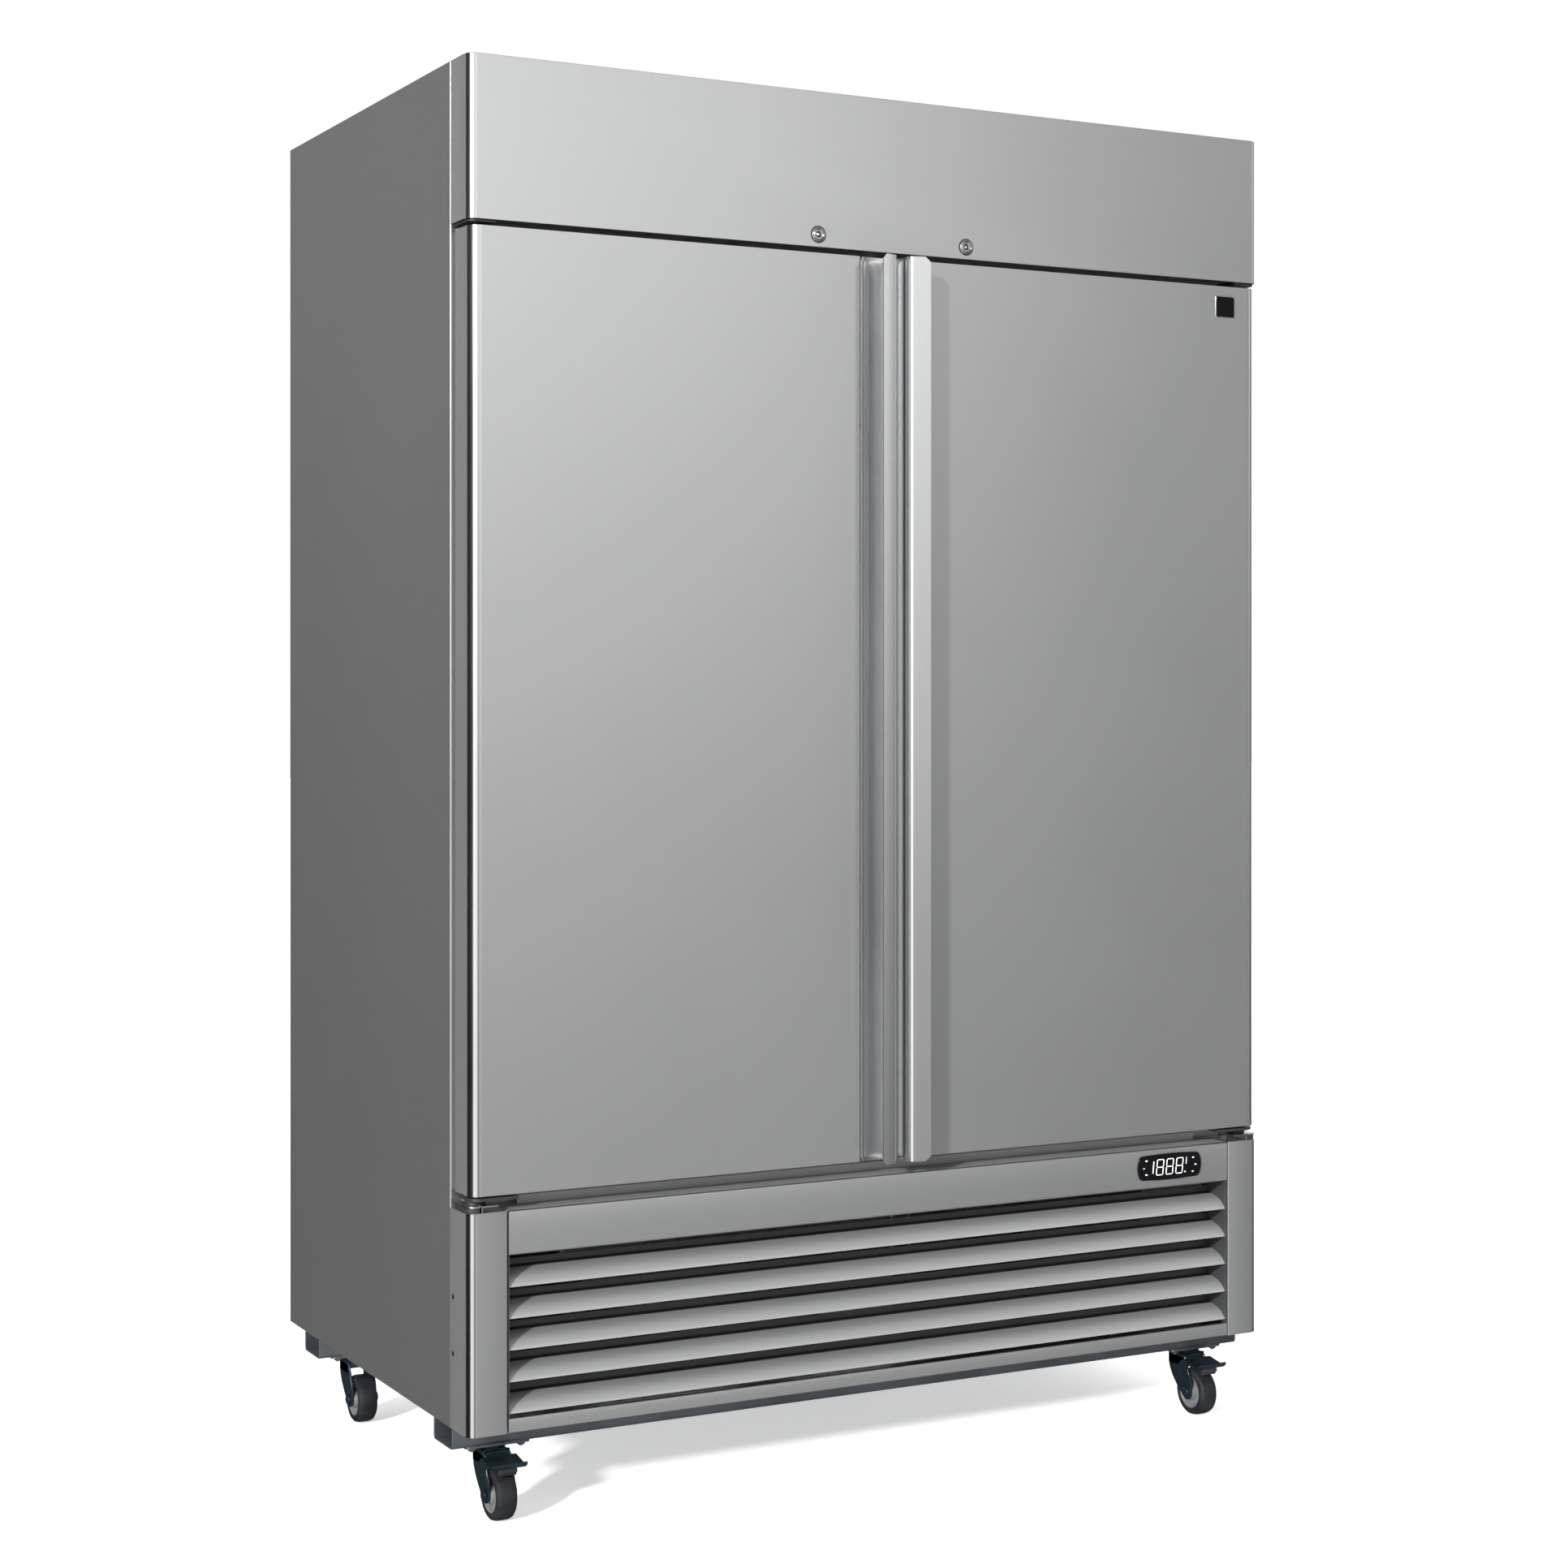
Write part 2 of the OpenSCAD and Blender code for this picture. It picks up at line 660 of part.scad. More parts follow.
// Housing round the evaporator with an outlet ring and a motor for each fan.
module evaporator_cover() {
    x = 545;
    y0 = 112;
    z0 = 1858;
    t = 1.5;
    color([0.86, 0.87, 0.88]) {
        difference() {
            block([-x, y0, z0], [x, cav_y - 0.5, ceil_z - 0.5]);
            block([-x + t, y0 + t, z0 + t], [x - t, cav_y, ceil_z]);
            for (s = [-1, 1]) rod_y([s * evap_fan_x, y0 - 5, evap_fan_z], fan_r + 4, 10, 96);
            for (i = [-6 : 6]) block([i * 75 - 25, 330, z0 - 1], [i * 75 + 25, 350, z0 + 3]);
        }
        for (s = [-1, 1]) {
            rod_y([s * evap_fan_x, evap_fan_y - 12, evap_fan_z], shaft_r, 29);
            rod_y([s * evap_fan_x, evap_fan_y + 16, evap_fan_z], 26, 38);
            block([s * evap_fan_x - 9, evap_fan_y + 24, evap_fan_z + 20],
                  [s * evap_fan_x + 9, evap_fan_y + 46, ceil_z - 0.6]);
        }
    }
}

module evaporator_fan(right) {
    color([0.2, 0.2, 0.22])
        translate([(right ? 1 : -1) * evap_fan_x, evap_fan_y, evap_fan_z]) fan(fan_r, 20, 20, 5);
}

// Open pan that collects the defrost water.
module drain_pan() {
    t = 1.5;
    p = [-250, -40, base_z + sheet];
    q = [60, 340, base_z + sheet + 50];
    color([0.7, 0.71, 0.72]) difference() {
        block(p, q);
        block([p[0] + t, p[1] + t, p[2] + t], [q[0] - t, q[1] - t, q[2] + 1]);
    }
}

// ---- shelving and lights ----

shelf_y0 = y_face + 60;
shelf_y1 = cav_y - 22;
shelf_x0 = -cav_x + 12;
shelf_x1 = -14;
shelf_t = 7;

module shelf() {
    frame_w = 8;
    wire = 4;
    wires = 22;
    w = shelf_x1 - shelf_x0;
    d = shelf_y1 - shelf_y0;
    gap = (w - 2 * frame_w - wires * wire) / (wires + 1);
    linear_extrude(shelf_t) difference() {
        square([w, d]);
        for (i = [0 : wires]) for (half = [0, 1])
            translate([frame_w + i * (gap + wire), frame_w + half * (d - frame_w) / 2])
                square([gap, (d - 3 * frame_w) / 2]);
    }
}

module shelf_set(right) {
    color([0.85, 0.86, 0.87]) sided(right) for (i = [0 : shelves - 1])
        translate([shelf_x0, shelf_y0, shelf_z0 + i * shelf_step]) shelf();
}

// Upright strips that take the shelf clips, and the clips under each shelf's corners.
module shelf_supports() {
    z0 = floor_z + 4;
    z1 = open_z - 14;
    strip = 22;
    depth = 7;
    ys = [shelf_y0 + 30, shelf_y1 - 60];
    color([0.8, 0.81, 0.82]) for (right = [false, true]) sided(right) {
        for (y = ys) block([-cav_x, y, z0], [-cav_x + depth, y + strip, z1]);
        for (i = [0 : shelves - 1]) for (y = ys) {
            z = shelf_z0 + i * shelf_step;
            block([-cav_x + depth + 0.2, y + 4, z - 14], [-cav_x + depth + 20, y + strip - 4, z - 0.2]);
        }
        block([-24, cav_y - depth, z0], [-2, cav_y - 0.2, z1]);
        block([-24, y_face + mullion_d + 0.2, z0], [-2, y_face + mullion_d + depth, z1]);
        for (i = [0 : shelves - 1]) {
            z = shelf_z0 + i * shelf_step;
            block([-21, cav_y - 34, z - 14], [-5, cav_y - depth - 0.2, z - 0.2]);
            block([-21, y_face + mullion_d + depth + 0.2, z - 14],
                  [-5, y_face + mullion_d + 26, z - 0.2]);
        }
    }
}

module interior_lights() {
    color([0.95, 0.95, 0.9]) for (right = [false, true]) sided(right)
        along_x(-580, -90) translate([y_face + 26, open_z + 0.8])
            polygon(concat([[-11, 0], [-11, -4]], arc([0, -4], 9, 180, 360, 8), [[11, -4], [11, 0]]));
}

// ---- fasteners ----

module cabinet_screws() {
    side_zs = [250, 331];
    color([0.8, 0.8, 0.81]) {
        for (right = [false, true]) sided(right) {
            for (z = side_zs) rod_x([-hw - 1.6, y_front + 56.6, z], 4, 1.6, 24);
            for (z = [170, 292, 420]) rod_y([-hw + 24, y_back - 14, z], 4, 1.6, 24);
            for (x = [-30, -330]) rod_y([x, y_back - 14, deck_z - 20], 4, 1.6, 24);
        }
    }
}

// ---- nodes ----

side_panel(false);  // side_panel_left
side_panel(true);  // side_panel_right
back_panel();
top_panel();
insulation();
inner_liner();
face_frame();
center_mullion();
header_panel();
corner_post(false);  // corner_post_left
corner_post(true);  // corner_post_right
grille_frame();
grille_louvers();
display_module();
base_channels();
base_panels();
rear_grille();
hinge_brackets(false);  // hinge_brackets_left
hinge_brackets(true);  // hinge_brackets_right
lock_bodies();
compressor();
condenser_coil();
condenser_shroud();
evaporator_coil();
evaporator_cover();
drain_pan();
shelf_supports();
shelf_set(false);  // shelves_left
shelf_set(true);  // shelves_right
interior_lights();
cord_gland();
caster_plates();
cabinet_screws();
door_skin(false);  // door_skin_left
door_liner(false);  // door_liner_left
door_foam(false);  // door_foam_left
door_gasket(false);  // door_gasket_left
door_handle(false);  // door_handle_left
hinge_bushes(false);  // hinge_bushes_left
door_skin(true);  // door_skin_right
door_liner(true);  // door_liner_right
door_foam(true);  // door_foam_right
door_gasket(true);  // door_gasket_right
door_handle(true);  // door_handle_right
hinge_bushes(true);  // hinge_bushes_right
lock_cylinder(false);  // lock_cylinder_left
lock_cylinder(true);  // lock_cylinder_right
condenser_fan();
evaporator_fan(false);  // evaporator_fan_left
evaporator_fan(true);  // evaporator_fan_right
caster_fork(false, false, true);  // caster_fork_front_left
caster_fork(true, false, true);  // caster_fork_front_right
caster_fork(false, true, false);  // caster_fork_rear_left
caster_fork(true, true, false);  // caster_fork_rear_right
caster_wheel(false, false);  // caster_wheel_front_left
caster_wheel(true, false);  // caster_wheel_front_right
caster_wheel(false, true);  // caster_wheel_rear_left
caster_wheel(true, true);  // caster_wheel_rear_right
brake_pedal(false);  // brake_pedal_left
brake_pedal(true);  // brake_pedal_right
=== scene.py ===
"""Looks of the two-section reach-in refrigerator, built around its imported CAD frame.

Shapes are drawn in millimetres in the frame's own axes (X right, Y back, Z up) and
turned into metres when a piece is made. Left-hand pieces are drawn first; the
right-hand ones are their mirror images.
"""

import json
import math

import bmesh
import bpy
from mathutils import Matrix, Vector

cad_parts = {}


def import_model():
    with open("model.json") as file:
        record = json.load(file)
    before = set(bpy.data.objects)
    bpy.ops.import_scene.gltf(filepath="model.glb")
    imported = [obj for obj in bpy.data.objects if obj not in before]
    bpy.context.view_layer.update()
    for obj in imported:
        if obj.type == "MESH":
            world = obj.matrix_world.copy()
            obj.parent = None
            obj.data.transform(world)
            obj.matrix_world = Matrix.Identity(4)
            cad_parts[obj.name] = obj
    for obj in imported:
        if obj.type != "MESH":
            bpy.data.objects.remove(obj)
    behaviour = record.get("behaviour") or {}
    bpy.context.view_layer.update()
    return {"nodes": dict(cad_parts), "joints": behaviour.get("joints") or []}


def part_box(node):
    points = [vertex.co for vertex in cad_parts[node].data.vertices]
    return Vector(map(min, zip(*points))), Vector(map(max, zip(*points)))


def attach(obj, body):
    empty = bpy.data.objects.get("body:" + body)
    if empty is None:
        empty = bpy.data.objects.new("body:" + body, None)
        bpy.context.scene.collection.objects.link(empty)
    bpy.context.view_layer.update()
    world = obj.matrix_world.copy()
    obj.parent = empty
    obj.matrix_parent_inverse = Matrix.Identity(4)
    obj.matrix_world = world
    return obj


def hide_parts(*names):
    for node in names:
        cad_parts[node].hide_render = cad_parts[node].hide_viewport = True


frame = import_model()

MM = 0.001
SIDES = ("left", "right")


def corners(node):
    """Lowest and highest corner of a CAD node, in millimetres."""
    low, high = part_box(node)
    return low / MM, high / MM


# ---- driving sizes, from the frame ----

HALF_W = corners("header_panel")[1].x
Y_FRONT = corners("header_panel")[0].y
Y_FACE = corners("side_panel_left")[0].y
Y_BACK = corners("back_panel")[1].y
TOP_Z = corners("header_panel")[1].z
BASE_Z = corners("side_panel_left")[0].z
HEADER_Z = corners("header_panel")[0].z
LEDGE_Z = corners("corner_post_left")[1].z
POST_X = corners("corner_post_left")[1].x
GRILLE_X = corners("grille_frame")[1].x
SILL_Z = corners("grille_frame")[1].z
CHANNEL_Z = corners("base_channels")[0].z
DECK_Z = corners("rear_grille")[1].z
DOOR_X0 = corners("door_skin_left")[0].x
DOOR_Z0 = corners("door_skin_left")[0].z
DOOR_Z1 = corners("door_skin_left")[1].z
LINER_Y = corners("door_liner_left")[1].y
HANDLE_X = corners("door_skin_left")[1].x
GAP = -corners("door_handle_left")[1].x
HANDLE_OUT = Y_FRONT - corners("door_handle_left")[0].y
CAVITY_HIGH = corners("inner_liner")[1] - Vector((1, 1, 1))

JOINT = {j["name"]: Vector(j["pos_m"]) / MM for j in frame["joints"]}
LOCK_AT = JOINT["lock_left_turn"]
PIVOT = JOINT["door_left_hinge"]

# ---- sizes shared by several pieces ----

SHEET = 1.2
POST_R = 14.0
DOOR_R = 18.0
BLADE_TIP = 42.3
SHELF_PITCH = 330.0
SHELVES = 3


# ---- outlines ----


def arc(cx, cy, r, a0, a1, n=8):
    """Points along a circle's arc, angles in degrees."""
    steps = [math.radians(a0 + (a1 - a0) * i / n) for i in range(n + 1)]
    return [(cx + r * math.cos(a), cy + r * math.sin(a)) for a in steps]


def rectangle(x0, y0, x1, y1):
    return [(x0, y0), (x1, y0), (x1, y1), (x0, y1)]


def rounded(cx, cy, w, h, r, n=6):
    """A rectangle with round corners."""
    x, y = w / 2 - r, h / 2 - r
    return (
        arc(cx + x, cy + y, r, 0, 90, n)
        + arc(cx - x, cy + y, r, 90, 180, n)
        + arc(cx - x, cy - y, r, 180, 270, n)
        + arc(cx + x, cy - y, r, 270, 360, n)
    )


def circle(cx, cy, r, n=48):
    return arc(cx, cy, r, 0, 360 - 360 / n, n - 1)


def thicken(path, t):
    """Closed outline of a bent sheet: the path, and its copy t to the left of it."""
    points = [Vector(p) for p in path]
    side = []
    for i, p in enumerate(points):
        before = (p - points[i - 1]).normalized() if i else None
        after = (points[i + 1] - p).normalized() if i + 1 < len(points) else None
        ways = [w for w in (before, after) if w is not None]
        normal = sum((Vector((-w.y, w.x)) for w in ways), Vector((0, 0))).normalized()
        side.append(p + normal * (t / normal.dot(Vector((-ways[0].y, ways[0].x)))))
    return [tuple(p) for p in points] + [tuple(p) for p in reversed(side)]


# ---- meshes ----


def add_object(name, data):
    """A new object in the scene."""
    obj = bpy.data.objects.new(name, data)
    bpy.context.scene.collection.objects.link(obj)
    return obj


PLACE = {
    "x": lambda t, u, v: Vector((t, u, v)),
    "y": lambda t, u, v: Vector((u, t, v)),
    "z": lambda t, u, v: Vector((u, v, t)),
}


def pairs(rows, closed):
    """Each row with the next one, and the last with the first if closed."""
    return list(zip(rows, rows[1:])) + ([(rows[-1], rows[0])] if closed else [])


class Shape:
    """A mesh in the making, in millimetres."""

    def __init__(self):
        self.bm = bmesh.new()

    def row(self, points):
        return [self.bm.verts.new(p) for p in points]

    def bridge(self, rows, closed=False):
        """Quads between rows of vertices, each row a loop."""
        for p, q in pairs(rows, closed):
            for i in range(len(p)):
                self.bm.faces.new((p[i - 1], p[i], q[i], q[i - 1]))

    def prism(self, outline, axis, a, b):
        """An outline drawn from a to b along an axis."""
        put = PLACE[axis]
        near, far = (self.row(put(t, u, v) for u, v in outline) for t in (a, b))
        self.bm.faces.new(near)
        self.bm.faces.new(reversed(far))
        for i in range(len(near)):
            self.bm.faces.new((near[i - 1], far[i - 1], far[i], near[i]))
        return self

    def box(self, low, high):
        return self.prism(rectangle(*low[:2], *high[:2]), "z", low[2], high[2])

    def plate(self, outline, holes, axis, a, b):
        """A flat plate with holes in it."""
        put = PLACE[axis]
        edges = []
        for loop in [outline] + holes:
            verts = self.row(put(a, u, v) for u, v in loop)
            edges += [self.bm.edges.new((verts[i - 1], verts[i])) for i in range(len(verts))]
        filled = bmesh.ops.triangle_fill(self.bm, edges=edges, use_beauty=True)["geom"]
        faces = [g for g in filled if isinstance(g, bmesh.types.BMFace)]
        grown = bmesh.ops.extrude_face_region(self.bm, geom=faces)["geom"]
        moved = [g for g in grown if isinstance(g, bmesh.types.BMVert)]
        bmesh.ops.translate(self.bm, verts=moved, vec=put(b - a, 0, 0))
        return self

    def lathe(self, profile, at, axis, steps=48, ring=False):
        """A (radius, position) profile turned round an axis through a point."""
        rows = []
        for r, t in profile:
            turn = [0.0] if r < 1e-6 else [2 * math.pi * i / steps for i in range(steps)]
            spots = [PLACE[axis](t, r * math.cos(a), r * math.sin(a)) for a in turn]
            rows.append(self.row(Vector(at) + p for p in spots))
        for p, q in pairs(rows, ring):
            for i in range(steps):
                quad = [p[i % len(p)], p[i - 1 if len(p) > 1 else 0]]
                quad += [q[i - 1 if len(q) > 1 else 0], q[i % len(q)]]
                unique = [v for k, v in enumerate(quad) if v not in quad[:k]]
                if len(unique) > 2:
                    self.bm.faces.new(unique)
        return self

    def rod(self, at, axis, r, length, steps=32):
        return self.lathe([(0, 0), (r, 0), (r, length), (0, length)], at, axis, steps)

    def tube(self, path, r, steps=10, closed=False):
        """A round wire or pipe along a path."""
        points = [Vector(p) for p in path]
        n = len(points)
        rows = []
        side = None
        for i, p in enumerate(points):
            ahead = points[(i + 1) % n] if closed or i + 1 < n else p
            behind = points[i - 1] if closed or i else p
            way = (ahead - behind).normalized()
            if side is None:
                side = way.orthogonal().normalized()
            side = (side - way * side.dot(way)).normalized()
            up = way.cross(side)
            turn = [2 * math.pi * k / steps for k in range(steps)]
            rows.append(self.row(p + r * (math.cos(a) * side + math.sin(a) * up) for a in turn))
        self.bridge(rows, closed)
        if not closed:
            self.bm.faces.new(rows[0])
            self.bm.faces.new(reversed(rows[-1]))
        return self

    def skin(self, grid, t):
        """A curved sheet of thickness t over a grid of points."""
        top = [self.row(line) for line in grid]
        low = [self.row(Vector(p) + Vector(t) for p in line) for line in grid]
        rows, cols = len(grid), len(grid[0])
        for sheet in (top, low):
            for near, far in zip(sheet, sheet[1:]):
                for j in range(cols - 1):
                    self.bm.faces.new((near[j], far[j], far[j + 1], near[j + 1]))
        rim = [(i, 0) for i in range(rows)] + [(rows - 1, j) for j in range(1, cols)]
        rim += [(i, cols - 1) for i in range(rows - 2, -1, -1)]
        rim += [(0, j) for j in range(cols - 2, 0, -1)]
        for (i, j), (k, m) in pairs(rim, True):
            self.bm.faces.new((top[i][j], top[k][m], low[k][m], low[i][j]))
        return self

    def copy(self, other, matrix):
        """Adds another shape, placed by a matrix."""
        table = {v: self.bm.verts.new(matrix @ v.co) for v in other.bm.verts}
        for f in other.bm.faces:
            self.bm.faces.new([table[v] for v in f.verts])
        return self

    def turn(self, matrix):
        bmesh.ops.transform(self.bm, matrix=matrix, verts=self.bm.verts)
        return self

    def mirrored(self, side):
        """The left-hand shape, or its mirror image for the right-hand side."""
        return self.turn(Matrix.Scale(-1, 4, (1, 0, 0))) if side == "right" else self

    def mesh(self, name):
        bmesh.ops.recalc_face_normals(self.bm, faces=self.bm.faces)
        bmesh.ops.scale(self.bm, vec=(MM, MM, MM), verts=self.bm.verts)
        mesh = bpy.data.meshes.new(name)
        self.bm.to_mesh(mesh)
        self.bm.free()
        return mesh

    def carved(self, cutter):
        """This shape with another one taken out of it."""
        body, tool = (add_object("carving", s.mesh("carving")) for s in (self, cutter))
        cut = body.modifiers.new("Cut", "BOOLEAN")
        cut.object = tool
        cut.solver = "EXACT"
        bpy.context.view_layer.update()
        graph = bpy.context.evaluated_depsgraph_get()
        self.bm = bmesh.new()
        self.bm.from_mesh(body.evaluated_get(graph).data)
        bmesh.ops.scale(self.bm, vec=(1 / MM, 1 / MM, 1 / MM), verts=self.bm.verts)
        for o in (body, tool):
            bpy.data.objects.remove(o)
        return self


EDGE_ANGLE = math.radians(34)
SHARP_ANGLE = math.radians(38)


def piece(name, shape, material, bevel=0.5, segments=2, replaces=None, body="cabinet"):
    """Makes a shape a piece of the object that rides on a body.

    It replaces the CAD node of its own name, if there is one, unless others are given.
    """
    if replaces is None:
        replaces = [name] if name in frame["nodes"] else []
    material = M[material]
    mesh = shape.mesh(name)
    mesh.shade_smooth()
    obj = add_object(name, mesh)
    mesh.materials.append(material)
    if bevel:
        edges = obj.modifiers.new("Edges", "BEVEL")
        edges.width = bevel * MM
        edges.segments = segments
        edges.limit_method = "ANGLE"
        edges.angle_limit = EDGE_ANGLE
        edges.miter_outer = "MITER_ARC"
        edges.harden_normals = True
    else:
        mesh.set_sharp_from_angle(angle=SHARP_ANGLE)
    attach(obj, body)
    if replaces:
        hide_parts(*replaces)


# ---- materials ----


class Graph:
    """A short way to write a node tree: an input is a value or another node's output."""

    def __init__(self, tree):
        self.tree = tree
        tree.nodes.clear()

    def add(self, kind, inputs=None, out=0, **settings):
        node = self.tree.nodes.new(kind)
        for key, value in settings.items():
            setattr(node, key, value)
        for key, value in (inputs or {}).items():
            if isinstance(value, bpy.types.NodeSocket):
                self.tree.links.new(value, node.inputs[key])
            else:
                node.inputs[key].default_value = value
        return node.outputs[out] if node.outputs else node

    def axes(self, vector):
        """The X, Y and Z outputs of a split vector."""
        return self.add("ShaderNodeSeparateXYZ", {0: vector}).node.outputs

    def math(self, operation, a, b=0.0, c=0.0):
        return self.add("ShaderNodeMath", {0: a, 1: b, 2: c}, operation=operation)

    def span(self, value, a, b, low, high):
        """Maps value from a..b to low..high, smoothly."""
        inputs = {"Value": value, "From Min": a, "From Max": b, "To Min": low, "To Max": high}
        return self.add("ShaderNodeMapRange", inputs, interpolation_type="SMOOTHSTEP")

    def noise(self, scale, size=1.0, detail=3.0, distortion=0.0):
        """Noise in the piece's own space; scale holds waves per metre along each axis."""
        place = self.add("ShaderNodeTexCoord", out=3)
        place = self.add("ShaderNodeMapping", {"Vector": place, "Scale": scale})
        inputs = {"Vector": place, "Scale": size, "Detail": detail, "Distortion": distortion}
        return self.add("ShaderNodeTexNoise", inputs)


def shade(color, factor):
    return tuple(min(1.0, c * factor) for c in color) + (1.0,)


# The relief's waves per metre along X, Y and Z.
UPRIGHT = (900.0, 900.0, 9.0)
ACROSS = (9.0, 900.0, 900.0)
EVEN = (420.0, 420.0, 420.0)
COAT_ROUGHNESS = 0.08


def surface(name, slot, color, rough, grain=EVEN, metal=0.0, tint=0.05, spread=0.04,
            bump=0.15, depth=0.05, blotch=3.0, streak=None, coat=0.0, glow=0.0, shine=0.5,
            film=0.0):
    """A finish with its own grain, broad colour drift, uneven gloss and fine relief.

    grain holds the relief's waves per metre along X, Y and Z; streak, if any, those
    of a second, longer pattern that also shifts the gloss; film is how much duller the
    flat faces are than the bends.
    """
    material = bpy.data.materials.new(name)
    material.use_nodes = True
    material["slot"] = slot
    g = Graph(material.node_tree)
    fine = g.noise(grain, detail=2.0)
    broad = g.noise((blotch,) * 3, detail=4.0, distortion=0.4)
    drift = g.span(broad, 0.3, 0.7, 0.0, 1.0)
    if streak:
        lines = g.noise(streak, detail=3.0)
        drift = g.math("MULTIPLY_ADD", lines, 0.5, g.math("MULTIPLY", drift, 0.5))
    mixed = {"Factor": drift, 6: shade(color, 1 - tint), 7: shade(color, 1 + tint)}
    tone = g.add("ShaderNodeMix", mixed, out=2, data_type="RGBA")
    uneven = g.math("MULTIPLY_ADD", fine, 0.5, g.math("MULTIPLY", drift, 0.5))
    gloss = g.span(uneven, 0.25, 0.75, rough - spread, rough + spread)
    if film:
        facing = g.axes(g.add("ShaderNodeTexCoord", out=1))
        flat = g.math("MAXIMUM", *(g.math("ABSOLUTE", axis) for axis in facing[:2]))
        metal = g.span(flat, 0.95, 0.995, metal, metal - film)
    relief = {"Height": fine, "Strength": bump, "Distance": depth * MM}
    shader = {
        "Base Color": tone,
        "Metallic": metal,
        "Roughness": gloss,
        "Specular IOR Level": shine,
        "Coat Weight": coat,
        "Coat Roughness": COAT_ROUGHNESS,
        "Emission Color": shade(color, 1.0),
        "Emission Strength": glow,
        "Normal": g.add("ShaderNodeBump", relief),
    }
    g.add("ShaderNodeOutputMaterial", {"Surface": g.add("ShaderNodeBsdfPrincipled", shader)})
    return material


def brushed(name, slot, color, rough, grain, **more):
    """Sheet metal with a brushed grain, its streaks about eight times coarser."""
    streak = tuple(v / 8 for v in grain)
    looks = dict(metal=1.0, tint=0.012, spread=0.018, bump=0.02, depth=0.015, streak=streak)
    return surface(name, slot, color, rough, grain, **{**looks, **more})


